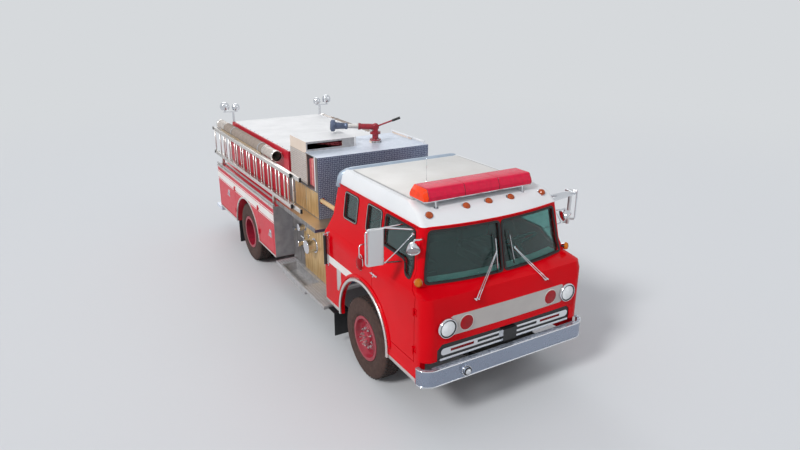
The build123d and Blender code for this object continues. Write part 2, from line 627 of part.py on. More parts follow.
with BuildPart() as driveshaft:
    bar((0, FRONT_AXLE + 900, 702), (0, REAR_AXLE - 330, AXLE_Z + 60), 38)
    slab(-100, 100, FRONT_AXLE + 800, FRONT_AXLE + 960 + FIT, 500, 900, Mode.SUBTRACT)
    slab(-100, 100, REAR_AXLE - 345, REAR_AXLE - 200, 400, 800, Mode.SUBTRACT)
write(driveshaft.part, "driveshaft")

# Front bumper: channel with wrapped ends, a filler pan behind its top edge and the siren
BUMPER_FRONT = FRONT_AXLE - 1395
BUMPER_LOW = 597.0
BUMPER_END_X = 1177.0
BUMPER_END_Y = FRONT_AXLE - 1240
BUMPER_STRAIGHT = 1057.0
PLATE = 8.0


def bumper_outline(inset):
    """The bumper's front line in plan, pulled back by inset, from one end to the other."""
    front, end = BUMPER_FRONT + inset, BUMPER_END_X - inset
    corner_x, corner_y = BUMPER_STRAIGHT + 60 - inset * 0.7, BUMPER_FRONT + 36 + inset * 0.7
    return (((-end, BUMPER_END_Y), (-end, BUMPER_FRONT + 100)),
            ((-end, BUMPER_FRONT + 100), (-corner_x - 18, corner_y + 8),
             (-BUMPER_STRAIGHT, front)),
            ((-BUMPER_STRAIGHT, front), (BUMPER_STRAIGHT, front)),
            ((BUMPER_STRAIGHT, front), (corner_x + 18, corner_y + 8), (end, BUMPER_FRONT + 100)),
            ((end, BUMPER_FRONT + 100), (end, BUMPER_END_Y)))


def bumper_band(thick, z0, z1):
    """A band of the bumper's plan line, thick inwards, between two heights."""
    with BuildSketch(Plane.XY.offset(z0)) as face:
        with BuildLine():
            for piece in bumper_outline(0.0):
                ThreePointArc(*piece) if len(piece) == 3 else Line(*piece)
            for piece in bumper_outline(thick):
                ThreePointArc(*piece) if len(piece) == 3 else Line(*piece)
            Line((-BUMPER_END_X, BUMPER_END_Y), (thick - BUMPER_END_X, BUMPER_END_Y))
            Line((BUMPER_END_X, BUMPER_END_Y), (BUMPER_END_X - thick, BUMPER_END_Y))
        make_face()
    extrude(face.sketch, amount=z1 - z0)


with BuildPart() as bumper:
    bumper_band(PLATE, BUMPER_LOW, BUMPER_TOP)
    bumper_band(38.0, BUMPER_LOW, BUMPER_LOW + PLATE)
    bumper_band(38.0, BUMPER_TOP - PLATE, BUMPER_TOP)
    slab(-1040, 1040, BUMPER_FRONT + 4, RAIL_FRONT - FIT, BUMPER_TOP - PLATE, BUMPER_TOP)
    for name, side in SIDES:
        slab(side * (RAIL_IN + 5), side * (RAIL_OUT - 5), BUMPER_FRONT + 4, RAIL_FRONT - FIT,
             RAIL_LOW + 20, BUMPER_TOP - 4)
    turned(((-10, 0), (-10, 54), (14, 54), (34, 40), (45, 0)), (-700, BUMPER_FRONT, 712), (0, -1, 0),
           (1, 0, 0))
write(bumper.part, "front_bumper")

# Steering knuckles: kingpin, two lugs, back plate and spindle
KNUCKLE_PLATE = 60.0
FRONT_SPINDLE = 36.0
for name, side in SIDES:
    with BuildPart() as knuckle:
        x, plate = side * KINGPIN_X, side * (KINGPIN_X + KNUCKLE_PLATE)
        bar((x, FRONT_AXLE, BOSS_LOW - 48), (x, FRONT_AXLE, BOSS_TOP + 50), KINGPIN)
        for low, high in ((BOSS_LOW - 46, BOSS_LOW - 8), (BOSS_TOP + 8, BOSS_TOP + 46)):
            bar((x, FRONT_AXLE, low), (x, FRONT_AXLE, high), 44)
            slab(x, plate, FRONT_AXLE - 44, FRONT_AXLE + 44, low, high)
        slab(plate, plate + side * 16, FRONT_AXLE - 62, FRONT_AXLE + 62, BOSS_LOW - 46, BOSS_TOP + 46)
        bar((plate, FRONT_AXLE, AXLE_Z), (side * 1098, FRONT_AXLE, AXLE_Z), FRONT_SPINDLE)
    write(knuckle.part, "knuckle_" + name)

# Tyres and rims are turned about the axle; profiles are (outward from the wheel's middle, radius)
BEAD = 109.5
TYRE_HALF = TYRE_WIDTH / 2
TYRE_PROFILE = ((-BEAD, RIM_RADIUS), (-BEAD, 292), (-TYRE_HALF, 385), (-TYRE_HALF + 18, 495),
                (-85, TYRE_RADIUS), (85, TYRE_RADIUS), (TYRE_HALF - 18, 495), (TYRE_HALF, 385),
                (BEAD, 292), (BEAD, RIM_RADIUS))
SEAT = RIM_RADIUS - FIT
LIP = 288.0
WELL = 242.0
FRONT_BORE = FRONT_SPINDLE + FIT
FRONT_RIM_PROFILE = ((-120, WELL), (-120, LIP), (-110, LIP), (-110, SEAT), (110, SEAT), (110, LIP),
                     (120, LIP), (120, 250), (96, 240), (50, 222), (62, 165), (75, 150), (75, 95),
                     (112, 85), (125, 55), (125, 0), (90, 0), (90, FRONT_BORE), (-30, FRONT_BORE),
                     (-30, 178), (-57, 178), (-57, 192), (-18, 192), (-18, 90), (60, 90), (60, 138),
                     (46, 160), (34, 225), (34, WELL))
REAR_BORE = SPINDLE + FIT
REAR_RIM_PROFILE = ((1166, WELL), (1166, LIP), (1156, LIP), (1156, SEAT), (936, SEAT), (936, LIP),
                    (926, LIP), (926, 250), (903, 228), (884, 228), (861, 250), (861, LIP),
                    (851, LIP), (851, SEAT), (631, SEAT), (631, LIP), (621, LIP), (621, WELL),
                    (843, WELL), (872, 214), (872, 100), (710, 100), (710, REAR_BORE),
                    (990, REAR_BORE), (990, 0), (1030, 0), (1030, 66), (1008, 84), (915, 90),
                    (915, 214), (944, WELL))
for name, side in SIDES:
    axis, up = (side, 0, 0), (0, -side, 0)
    front_wheel = (side * FRONT_TRACK_HALF, FRONT_AXLE, AXLE_Z)
    with BuildPart() as front_tyre:
        turned(TYRE_PROFILE, front_wheel, axis, up)
    write(front_tyre.part, "front_tyre_" + name)
    with BuildPart() as front_rim:
        turned(FRONT_RIM_PROFILE, front_wheel, axis, up)
    write(front_rim.part, "front_rim_" + name)
    with BuildPart() as rear_tyres:
        for x in (REAR_TRACK_HALF, REAR_TRACK_HALF - DUAL_SPACING):
            turned(TYRE_PROFILE, (side * x, REAR_AXLE, AXLE_Z), axis, up)
    write(rear_tyres.part, "rear_tyres_" + name)
    with BuildPart() as rear_rims:
        turned(REAR_RIM_PROFILE, (0, REAR_AXLE, AXLE_Z), axis, up)
    write(rear_rims.part, "rear_rims_" + name)

# Running boards with a hose well, on brackets from the rails
BOARD_TOP = 503.0
BOARD_LOW = 450.0
BOARD_IN = 890.0
BOARD_FRONT = FRONT_AXLE + 1070
WELL_FRONT = FRONT_AXLE + 1821
WELL_BACK = FRONT_AXLE + 2720
with BuildPart() as running_boards:
    for name, side in SIDES:
        slab(side * BOARD_IN, side * BODY_HALF, BOARD_FRONT, BODY_FRONT - FIT, BOARD_LOW, BOARD_TOP)
        slab(side * 934, side * 1184, WELL_FRONT - 8, WELL_BACK + 8, 362, BOARD_TOP)
        slab(side * 942, side * 1176, WELL_FRONT, WELL_BACK, 370, BOARD_TOP + 5, Mode.SUBTRACT)
        for y in (1500, 2800):
            slab(side * (RAIL_OUT + FIT), side * (BOARD_IN + 5), FRONT_AXLE + y - 30,
                 FRONT_AXLE + y + 30, BOARD_LOW, BOARD_LOW + 45)
            slab(side * (RAIL_OUT + FIT), side * (RAIL_OUT + 20), FRONT_AXLE + y - 30,
                 FRONT_AXLE + y + 30, BOARD_LOW, RAIL_LOW + 100)
write(running_boards.part, "running_boards")

# Pump house: side pods with panels, shelf, treadplate box, crosslay slot and deck
PANEL_FACE = 895.0
HOUSE_FRONT = FRONT_AXLE + 1545
BOX_FRONT = FRONT_AXLE + 1781
BOX_HALF = 921.0
SLOT_FRONT = FRONT_AXLE + 1885
SLOT_BACK = FRONT_AXLE + 2215
SLOT_LOW = 1905.0
BOX_TOP = 2400.0
DECK_BACK = FRONT_AXLE + 2840
CHEEK_TOP = 2540.0
TRAY_LEFT = -120.0
TRAY_MOUTH = (-880.0, -320.0, 2425.0, 2510.0)
TRAY_WALL = 15.0
SHELF_Z = 1450.0
MONITOR_X = 300.0
MONITOR_Y = FRONT_AXLE + 2330
with BuildPart() as pump_house:
    slab(-PANEL_FACE, PANEL_FACE, HOUSE_FRONT, BODY_FRONT - FIT, BOARD_TOP + FIT, SHELF_Z)
    slab(-RAIL_OUT - 60, RAIL_OUT + 60, HOUSE_FRONT - 1, BODY_FRONT, BOARD_TOP - 5, RAIL_TOP + 60,
         Mode.SUBTRACT)
    slab(-BOX_HALF, BOX_HALF, BOX_FRONT, BODY_FRONT - FIT, SHELF_Z, SLOT_LOW)
    slab(-BOX_HALF, BOX_HALF, BOX_FRONT, SLOT_FRONT, SLOT_LOW, BOX_TOP)
    slab(-BOX_HALF, BOX_HALF, BOX_FRONT, SLOT_BACK, BOX_TOP - 15, BOX_TOP)
    slab(-BOX_HALF + 21, BOX_HALF - 21, SLOT_BACK, DECK_BACK, SLOT_LOW, BOX_TOP)
    slab(-1150, 1150, FRONT_AXLE + 1420, BODY_FRONT - FIT, SHELF_Z, SHELF_Z + 45)
    slab(-PANEL_FACE + 60, PANEL_FACE - 60, FRONT_AXLE + 1400, HOUSE_FRONT, SHELF_Z - 10,
         SHELF_Z + 60, Mode.SUBTRACT)
    for name, side in SIDES:
        slab(side * 1140, side * 1150, FRONT_AXLE + 1420, BODY_FRONT - FIT, SHELF_Z, SHELF_Z + 70)
        slab(side * (BOX_HALF - 36), side * (BOX_HALF - 21), SLOT_BACK, DECK_BACK, SLOT_LOW,
             CHEEK_TOP)
    slab(-BOX_HALF + 21, TRAY_LEFT, SLOT_BACK, DECK_BACK, BOX_TOP - 5, CHEEK_TOP)
    slab(-BOX_HALF + 21 + TRAY_WALL, TRAY_LEFT - TRAY_WALL, SLOT_BACK + TRAY_WALL,
         DECK_BACK - TRAY_WALL, BOX_TOP, CHEEK_TOP - TRAY_WALL, Mode.SUBTRACT)
    left, right, low, high = TRAY_MOUTH
    slab(left, right, SLOT_BACK - 1, SLOT_BACK + TRAY_WALL + 1, low, high, Mode.SUBTRACT)
    bar((MONITOR_X, MONITOR_Y, BOX_TOP - 10), (MONITOR_X, MONITOR_Y, BOX_TOP + 30), 95)
write(pump_house.part, "pump_house")

# Folded hose: one load across the slot and one in the tray behind it
with BuildPart() as crosslay:
    slab(-BOX_HALF + 25, BOX_HALF - 25, SLOT_FRONT + FIT, SLOT_BACK - FIT, SLOT_LOW + FIT,
         BOX_TOP - 45)
    slab(-BOX_HALF + 46, TRAY_LEFT - 30, SLOT_BACK + 60, DECK_BACK - 60, BOX_TOP + FIT,
         BOX_TOP + 90)
write(crosslay.part, "crosslay_hose")

# Pump inlets and outlets, capped, with valve levers over them. Columns: y from the front axle, z,
# radius, reach. The levers' columns: y from the front axle, z.
FITTINGS = ((2034, 1012, 92, 150), (2394, 1203, 46, 120), (2500, 900, 46, 110))
LEVERS = ((2280, 1080), (2636, 1112))
with BuildPart() as fittings:
    for name, side in SIDES:
        for y, z, size, reach in FITTINGS:
            turned(((FIT, 0), (FIT, size + 22), (14, size + 22), (14, size), (reach * 0.6, size),
                    (reach * 0.6, size + 12), (reach, size + 12), (reach, 0)),
                   (side * PANEL_FACE, FRONT_AXLE + y, z), (side, 0, 0), (0, -side, 0))
        for y, z in LEVERS:
            stem = (side * (PANEL_FACE + 100), FRONT_AXLE + y, z)
            bar((side * (PANEL_FACE + FIT), FRONT_AXLE + y, z), stem, 13)
            bar((side * (PANEL_FACE + FIT), FRONT_AXLE + y, z),
                (side * (PANEL_FACE + 10), FRONT_AXLE + y, z), 34)
            bar((side * (PANEL_FACE + 90), FRONT_AXLE + y - 62, z),
                (side * (PANEL_FACE + 90), FRONT_AXLE + y + 62, z), 17)
write(fittings.part, "pump_fittings")

# Rear body sides with two compartments and the wheel arch. Columns: place, front, back, hinge
# line (all from the front axle), and the side of the hinge on which the door lies
BODY_LOW = 554.0
BODY_TOP = 1410.0
BODY_IN = 700.0
SKIN = 30.0
REAR_ARCH = 618.0
DOOR_LOW = 588.0
DOOR_HIGH = 1335.0
DOOR_THICK = 40.0
LOCKER_DOORS = (("front", 2985.0, 3690.0, 3686.0, -1), ("rear", 4995.0, 6045.0, 4999.0, 1))
LOCKER_HINGES = (760.0, 1180.0)
for name, side in SIDES:
    with BuildPart() as body_side:
        slab(side * BODY_IN, side * BODY_HALF, BODY_FRONT, BODY_REAR, BODY_LOW, BODY_TOP)
        bar((side * 600, REAR_AXLE, AXLE_Z), (side * 1300, REAR_AXLE, AXLE_Z), REAR_ARCH,
            Mode.SUBTRACT)
        slab(side * 600, side * 1300, REAR_AXLE - REAR_ARCH + 3, REAR_AXLE + REAR_ARCH - 3, 400,
             BODY_LOW + 10, Mode.SUBTRACT)
        for place, front, back, hinge, reach in LOCKER_DOORS:
            slab(side * (BODY_IN + SKIN), side * 1300, FRONT_AXLE + front, FRONT_AXLE + back,
                 DOOR_LOW, DOOR_HIGH, Mode.SUBTRACT)
        for place, front, back, hinge, reach in LOCKER_DOORS:
            for z in LOCKER_HINGES:
                hinge_on_frame(side, BODY_HALF, FRONT_AXLE + hinge, z, -reach)
    write(body_side.part, "body_side_" + name)
    for place, front, back, hinge, reach in LOCKER_DOORS:
        with BuildPart() as locker_door:
            slab(side * (BODY_HALF - DOOR_THICK), side * BODY_HALF, FRONT_AXLE + front + SHUT_GAP,
                 FRONT_AXLE + back - SHUT_GAP, DOOR_LOW + SHUT_GAP, DOOR_HIGH - SHUT_GAP)
            for z in LOCKER_HINGES:
                hinge_on_door(side, BODY_HALF, FRONT_AXLE + hinge, z, reach)
        write(locker_door.part, "locker_door_" + place + "_" + name)

# Hose bed: tank between the sides, walls above them, sloped at the back
BED_HALF = 905.0
BED_WALL = 25.0
BED_TOP = 2258.0
BED_FLOOR = 1450.0
SLOPE_Y = BODY_REAR - 237
SLOPE_Z = 1850.0
with BuildPart() as hosebed:
    slab(-BODY_IN + FIT, BODY_IN - FIT, BODY_FRONT, BODY_REAR, RAIL_TOP + FIT, BODY_TOP)
    slab(-BED_HALF, BED_HALF, BODY_FRONT, BODY_REAR, BODY_TOP + FIT, BED_FLOOR)
    slab(-600, 600, BODY_FRONT, BODY_REAR, BODY_TOP - 5, BODY_TOP + 5)
    for name, side in SIDES:
        side_prism(((BODY_FRONT, BODY_TOP + FIT), (BODY_REAR, BODY_TOP + FIT), (BODY_REAR, SLOPE_Z),
                    (SLOPE_Y, BED_TOP), (BODY_FRONT, BED_TOP)), side * (BED_HALF - BED_WALL),
                   side * BED_HALF)
        bar((side * 560, REAR_AXLE, AXLE_Z), (side * 800, REAR_AXLE, AXLE_Z), REAR_ARCH,
            Mode.SUBTRACT)
    slab(-BED_HALF, BED_HALF, BODY_FRONT, BODY_FRONT + BED_WALL, BED_FLOOR - 5, BED_TOP)
write(hosebed.part, "hosebed")

COVER_THICK = 8.0
with BuildPart() as cover:
    lift = BED_TOP + FIT
    side_prism(((BODY_FRONT, lift), (SLOPE_Y, lift), (BODY_REAR + FIT, SLOPE_Z + FIT),
                (BODY_REAR + FIT, 1500), (BODY_REAR + FIT + COVER_THICK, 1500),
                (BODY_REAR + FIT + COVER_THICK, SLOPE_Z + 5), (SLOPE_Y + 5, lift + COVER_THICK),
                (BODY_FRONT, lift + COVER_THICK)), -BED_HALF, BED_HALF)
write(cover.part, "hosebed_cover")

# Tailboard with its riser against the body
with BuildPart() as tailboard:
    slab(-1200, 1200, BODY_REAR + FIT, REAR_END, 440, 500)
    slab(-1200, 1200, BODY_REAR + FIT, BODY_REAR + 14, 440, 620)
    for name, side in SIDES:
        slab(side * (RAIL_IN + 5), side * (RAIL_OUT - 5), BODY_REAR + FIT, REAR_END - 40, 410, 450)
write(tailboard.part, "tailboard")

# Hard suction hoses on brackets from the hose bed walls. Columns: side, height, front, back
HOSE_X = 1020.0
HOSE_RADIUS = 92.0
HOSE_BORE = 76.0
HOSE_END = ((0, 0), (0, 90), (70, 90), (78, 84), (410, 84), (410, 95), (440, 95), (440, 86),
            (470, 86), (470, 95), (500, 95), (500, 0))
with BuildPart() as suction_hoses:
    for side, z, front, back in ((-1, 2155.0, 3130.0, 6280.0), (1, 2155.0, 2800.0, 5950.0)):
        start = (side * HOSE_X, FRONT_AXLE + front, z)
        end = (side * HOSE_X, FRONT_AXLE + back, z)
        bar((start[0], start[1] + 499, z), (end[0], end[1] - 499, z), HOSE_RADIUS)
        turned(HOSE_END, start, (0, 1, 0), (1, 0, 0))
        turned(HOSE_END, end, (0, -1, 0), (1, 0, 0))
        for y in (3800, 5300):
            slab(side * (BED_HALF + FIT), side * (HOSE_X + 20), FRONT_AXLE + y - 30,
                 FRONT_AXLE + y + 30, z - HOSE_RADIUS - 14, z - HOSE_RADIUS + 12)
            slab(side * (BED_HALF + FIT), side * (BED_HALF + 14), FRONT_AXLE + y - 30,
                 FRONT_AXLE + y + 30, z - HOSE_RADIUS - 60, z)
        bar(start, (start[0], start[1] + 300, z), HOSE_BORE, Mode.SUBTRACT)
        bar(end, (end[0], end[1] - 300, z), HOSE_BORE, Mode.SUBTRACT)
write(suction_hoses.part, "suction_hoses")

# Ladder on edge on the right side, two nested sections whose rungs alternate, and two pike poles
# under it. Columns: inner x, outer x, front, back, the first rung.
RUNG_PITCH = 356.0
LADDER_LOW = 1600.0
LADDER_TOP = 2070.0
SECTIONS = ((1133.0, 1165.0, 2250.0, 6380.0, 2370.0),
            (1101.0, 1133.0, 1960.0, 6200.0, 2370.0 - RUNG_PITCH / 2))
with BuildPart() as ladder:
    for x0, x1, front, back, first in SECTIONS:
        for z in (LADDER_LOW, LADDER_TOP):
            slab(-x1, -x0, FRONT_AXLE + front, FRONT_AXLE + back, z - 30, z + 30)
        for i in range(int((back - first - 60) / RUNG_PITCH) + 1):
            y = FRONT_AXLE + first + i * RUNG_PITCH
            bar((-(x0 + x1) / 2, y, LADDER_LOW), (-(x0 + x1) / 2, y, LADDER_TOP), 15)
    for y in (3050, 5900):
        slab(-1160, -1110, FRONT_AXLE + y - 20, FRONT_AXLE + y + 20, BODY_TOP + FIT, LADDER_LOW)
write(ladder.part, "ladder")

with BuildPart() as poles:
    for x, front, back in ((-1185.0, 2940.0, 6140.0), (-1080.0, 3000.0, 6060.0)):
        bar((x, FRONT_AXLE + front, BODY_TOP + 17 + FIT), (x, FRONT_AXLE + back, BODY_TOP + 17 + FIT),
            17)
write(poles.part, "pike_poles")

# Rear warning lamps on posts, tail lamps on the rear face, and grab rails. The dome's profile is in
# shares of its radius. Columns of the domes: x, foot, radius. Tail lamps: height, radius, reach.
DOME = ((0, 0), (0, 0.62), (0.12, 0.86), (0.5, 1), (0.95, 1), (1.35, 0.84), (1.62, 0.5), (1.72, 0))
DOME_LAMPS = ((1048.0, 2496.0, 88.0), (838.0, 2478.0, 74.0))
TAIL_LAMPS = ((790.0, 62.0, 34.0), (940.0, 62.0, 34.0), (1090.0, 62.0, 34.0))
TAIL_LAMP_X = 985.0
POST_TOP = 2464.0
with BuildPart() as rear_lamps:
    for name, side in SIDES:
        x, y = side * (BED_HALF - BED_WALL / 2), SLOPE_Y - 50
        bar((x, y, BED_TOP + COVER_THICK + 2 * FIT), (x, y, POST_TOP - 1), 22)
        slab(side * 812, side * 1074, y - 27, y + 27, POST_TOP - 14, POST_TOP)
        for lamp_x, foot, size in DOME_LAMPS:
            bar((side * lamp_x, y, POST_TOP - 8), (side * lamp_x, y, foot + 5), 17)
            turned([(along * size, out * size) for along, out in DOME], (side * lamp_x, y, foot),
                   (0, 0, 1), (0, -1, 0))
        for z, size, reach in TAIL_LAMPS:
            turned(((FIT, 0), (FIT, size), (reach * 0.6, size), (reach, size - 14), (reach + 6, 0)),
                   (side * TAIL_LAMP_X, BODY_REAR, z), (0, 1, 0), (1, 0, 0))
write(rear_lamps.part, "rear_lamps")

STAY_X = 868.0
STAY_Z = 1775.0
STAY_TIP = FRONT_AXLE + 1300
with BuildPart() as grab_rails:
    for name, side in SIDES:
        tube(((side * 1120, BODY_REAR + FIT, 700), (side * 1120, BODY_REAR + 70, 700),
              (side * 1120, BODY_REAR + 70, 1360), (side * 1120, BODY_REAR + FIT, 1360)), 16, 40)
        bar((side * STAY_X, BOX_FRONT - FIT, STAY_Z), (side * STAY_X, STAY_TIP, STAY_Z), 21)
        bar((side * STAY_X, BOX_FRONT - FIT, STAY_Z), (side * STAY_X, BOX_FRONT - 12, STAY_Z), 44)
write(grab_rails.part, "grab_rails")

with BuildPart() as mudflaps:
    for name, side in SIDES:
        slab(side * 900, side * 1140, FRONT_AXLE + 880, FRONT_AXLE + 890, 120, BOARD_LOW + 20)
        slab(side * (BOARD_IN + 20), side * 1140, FRONT_AXLE + 880, BOARD_FRONT - FIT, BOARD_LOW + 5,
             BOARD_LOW + 20)
        slab(side * 700, side * 1180, REAR_AXLE + 640, REAR_AXLE + 650, 120, BODY_LOW - FIT)
write(mudflaps.part, "mudflaps")

# Deck gun: a swivelling pedestal and an elevating barrel with its tiller
PIVOT_Z = 2635.0
TRUNNION = 22.0
TRUNNION_HALF = 84.0
YOKE_IN = 68.0
YOKE_OUT = 82.0
BARREL_TIP = (MONITOR_X - 630, MONITOR_Y + 290, PIVOT_Z + 30)
TILLER_END = (MONITOR_X + 260, MONITOR_Y - 300, PIVOT_Z + 165)
BARREL_PROFILE = ((0, 0), (0, 46), (215, 44), (235, 52), (262, 52), (276, 36), (420, 33), (432, 45),
                  (452, 45), (470, 38), (600, 43), (640, 54), (690, 54), (690, 30), (560, 24),
                  (560, 0))
aim = (Vector(*BARREL_TIP) - Vector(MONITOR_X, MONITOR_Y, BARREL_TIP[2])).normalized()
across = Vector(-aim.Y, aim.X, 0)


def on_trunnion(distance):
    """A point on the elevation axis, at a distance from the middle of the gun."""
    return tuple(Vector(MONITOR_X, MONITOR_Y, PIVOT_Z) + across * distance)


with BuildPart() as monitor_base:
    bar((MONITOR_X, MONITOR_Y, BOX_TOP + 30 + FIT), (MONITOR_X, MONITOR_Y, PIVOT_Z - 60 - FIT), 48)
    bar((MONITOR_X, MONITOR_Y, BOX_TOP + 30 + FIT), (MONITOR_X, MONITOR_Y, BOX_TOP + 50), 85)
    bar((MONITOR_X, MONITOR_Y, PIVOT_Z - 105), (MONITOR_X, MONITOR_Y, PIVOT_Z - 72), YOKE_OUT)
    for turn in (-1, 1):
        bar(on_trunnion(turn * YOKE_IN), on_trunnion(turn * YOKE_OUT), 42)
        with Locations(Plane(origin=(MONITOR_X, MONITOR_Y, PIVOT_Z - 50), x_dir=across)):
            with Locations((turn * (YOKE_IN + YOKE_OUT) / 2, 0, 0)):
                Box(YOKE_OUT - YOKE_IN, 60, 80)
    bar(on_trunnion(-YOKE_OUT - 5), on_trunnion(YOKE_OUT + 5), TRUNNION + FIT, Mode.SUBTRACT)
write(monitor_base.part, "monitor_base")
with BuildPart() as monitor:
    with Locations((MONITOR_X, MONITOR_Y, PIVOT_Z)):
        Sphere(60)
    bar(on_trunnion(-TRUNNION_HALF), on_trunnion(TRUNNION_HALF), TRUNNION)
    turned(BARREL_PROFILE, (MONITOR_X, MONITOR_Y, PIVOT_Z),
           (Vector(*BARREL_TIP) - Vector(MONITOR_X, MONITOR_Y, PIVOT_Z)).normalized(), across)
    tiller = Vector(*TILLER_END) - Vector(MONITOR_X, MONITOR_Y, PIVOT_Z)
    bar((MONITOR_X, MONITOR_Y, PIVOT_Z), TILLER_END, 13)
    bar(tuple(Vector(*TILLER_END) - tiller * 0.3), TILLER_END, 19)
write(monitor.part, "monitor_barrel")
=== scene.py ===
# Fire engine: finishes and small pieces around the solids. Metres, front towards -Y, right side -X.
import random
from math import cos, degrees, pi, radians, sin, sqrt

import bmesh
import bpy
from mathutils import Matrix, Vector


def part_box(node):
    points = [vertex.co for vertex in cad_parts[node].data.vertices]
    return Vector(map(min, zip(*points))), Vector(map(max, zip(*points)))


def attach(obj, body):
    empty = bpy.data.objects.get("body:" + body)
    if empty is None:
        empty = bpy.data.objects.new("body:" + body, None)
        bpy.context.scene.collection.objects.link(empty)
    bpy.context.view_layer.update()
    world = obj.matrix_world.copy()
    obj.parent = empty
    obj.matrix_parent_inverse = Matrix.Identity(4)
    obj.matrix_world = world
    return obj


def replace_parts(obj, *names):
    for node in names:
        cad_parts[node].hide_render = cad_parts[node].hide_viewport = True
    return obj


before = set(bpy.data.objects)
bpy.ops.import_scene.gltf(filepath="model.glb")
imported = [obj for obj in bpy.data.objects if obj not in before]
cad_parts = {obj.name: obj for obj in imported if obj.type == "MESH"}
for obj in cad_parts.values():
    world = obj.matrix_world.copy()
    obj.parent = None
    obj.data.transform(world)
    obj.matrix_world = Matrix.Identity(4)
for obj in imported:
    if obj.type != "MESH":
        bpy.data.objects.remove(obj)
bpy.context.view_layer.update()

# Axles, tyres and tailboard, read from the solids
FRONT_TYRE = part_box("front_tyre_right")
REAR_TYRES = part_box("rear_tyres_right")
FRONT_AXLE = (FRONT_TYRE[0][1] + FRONT_TYRE[1][1]) / 2
REAR_AXLE = (REAR_TYRES[0][1] + REAR_TYRES[1][1]) / 2
AXLE_Z = (FRONT_TYRE[0][2] + FRONT_TYRE[1][2]) / 2
TYRE_RADIUS = (FRONT_TYRE[1][2] - FRONT_TYRE[0][2]) / 2
TAIL_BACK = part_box("tailboard")[1][1]
TAIL_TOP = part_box("tailboard")[1][2]

# Faces, edges and heights that the solids are built to
CAB_HALF = 1.131
CAB_REAR = FRONT_AXLE + 1.190
ROOF_Z = 2.418
BODY_HALF = 1.209
BODY_FRONT = FRONT_AXLE + 2.929
BODY_REAR = FRONT_AXLE + 6.087
BODY_LOW = 0.554
BODY_TOP = 1.410
PANEL_FACE = 0.895
ARCH_Y = FRONT_AXLE + 0.057
ARCH_Z = 0.629
BED_TOP = 2.258
SIDES = (("right", -1), ("left", 1))


def linear(code):
    """An sRGB hex colour as linear red, green, blue and alpha."""
    parts = [int(code[i:i + 2], 16) / 255 for i in (1, 3, 5)]
    return [p / 12.92 if p <= 0.04045 else ((p + 0.055) / 1.055) ** 2.4 for p in parts] + [1.0]


def feed(tree, node, links):
    """Sets a node's inputs to values or to other nodes' outputs."""
    for key, value in links.items():
        if isinstance(value, bpy.types.NodeSocket):
            tree.links.new(value, node.inputs[key])
        else:
            node.inputs[key].default_value = value


def add_node(tree, kind, links=None, **settings):
    """A new node with its settings and what feeds its inputs."""
    node = tree.nodes.new(kind)
    for key, value in settings.items():
        setattr(node, key, value)
    feed(tree, node, links or {})
    return node


def material(name):
    """A new material with an empty tree, its principled shader and its object coordinates."""
    mat = bpy.data.materials.new(name)
    mat.use_nodes = True
    tree = mat.node_tree
    tree.nodes.clear()
    shader = add_node(tree, "ShaderNodeBsdfPrincipled")
    add_node(tree, "ShaderNodeOutputMaterial", {"Surface": shader.outputs[0]})
    place = add_node(tree, "ShaderNodeTexCoord").outputs["Object"]
    return mat, tree, shader, place


def noise(tree, place, size, detail, stretch=(1, 1, 1)):
    """Noise of a real size in metres, drawn out where its stretch is under 1."""
    moved = add_node(tree, "ShaderNodeMapping", {"Vector": place, "Scale": stretch})
    return add_node(tree, "ShaderNodeTexNoise",
                    {"Vector": moved.outputs[0], "Scale": 1 / size, "Detail": detail}).outputs[0]


def noise_mask(tree, place, size, low, high, detail=4.0, stretch=(1, 1, 1)):
    """Noise spread from 0 at low to 1 at high."""
    return add_node(tree, "ShaderNodeMapRange",
                    {"Value": noise(tree, place, size, detail, stretch), "From Min": low,
                     "From Max": high}).outputs[0]


def two_tone(tree, mask, first, second):
    """A colour that a mask takes from one to another; each is a hex code or a socket."""
    first, second = [linear(c) if isinstance(c, str) else c for c in (first, second)]
    return add_node(tree, "ShaderNodeMix", {0: mask, 6: first, 7: second},
                    data_type="RGBA").outputs[2]


def worn_gloss(tree, mask, rough, spread):
    """A roughness that a mask raises above the smoothest places by a spread."""
    return add_node(tree, "ShaderNodeMapRange",
                    {"Value": mask, "To Min": rough, "To Max": rough + spread}).outputs[0]


def relief(tree, height, depth):
    """The normal of a surface raised by a pattern, depth in metres."""
    return add_node(tree, "ShaderNodeBump",
                    {"Height": height, "Strength": 1.0, "Distance": depth}).outputs[0]


def low_dirt(tree, place, colour, dirt, top, amount):
    """Road dust that fades out from the ground up to a height."""
    height = add_node(tree, "ShaderNodeSeparateXYZ", {0: place}).outputs[2]
    fade = add_node(tree, "ShaderNodeMapRange",
                    {"Value": height, "From Min": 0.3, "From Max": top, "To Min": amount,
                     "To Max": 0.0}).outputs[0]
    blotch = noise_mask(tree, place, 0.12, 0.35, 0.65)
    both = add_node(tree, "ShaderNodeMath", {0: fade, 1: blotch}, operation="MULTIPLY").outputs[0]
    return two_tone(tree, both, colour, dirt)


# Sizes of the fine patterns. Real brush lines are half a millimetre apart, drawn wider to show.
ORANGE_PEEL = 0.004
BRUSH_LINES = 0.002


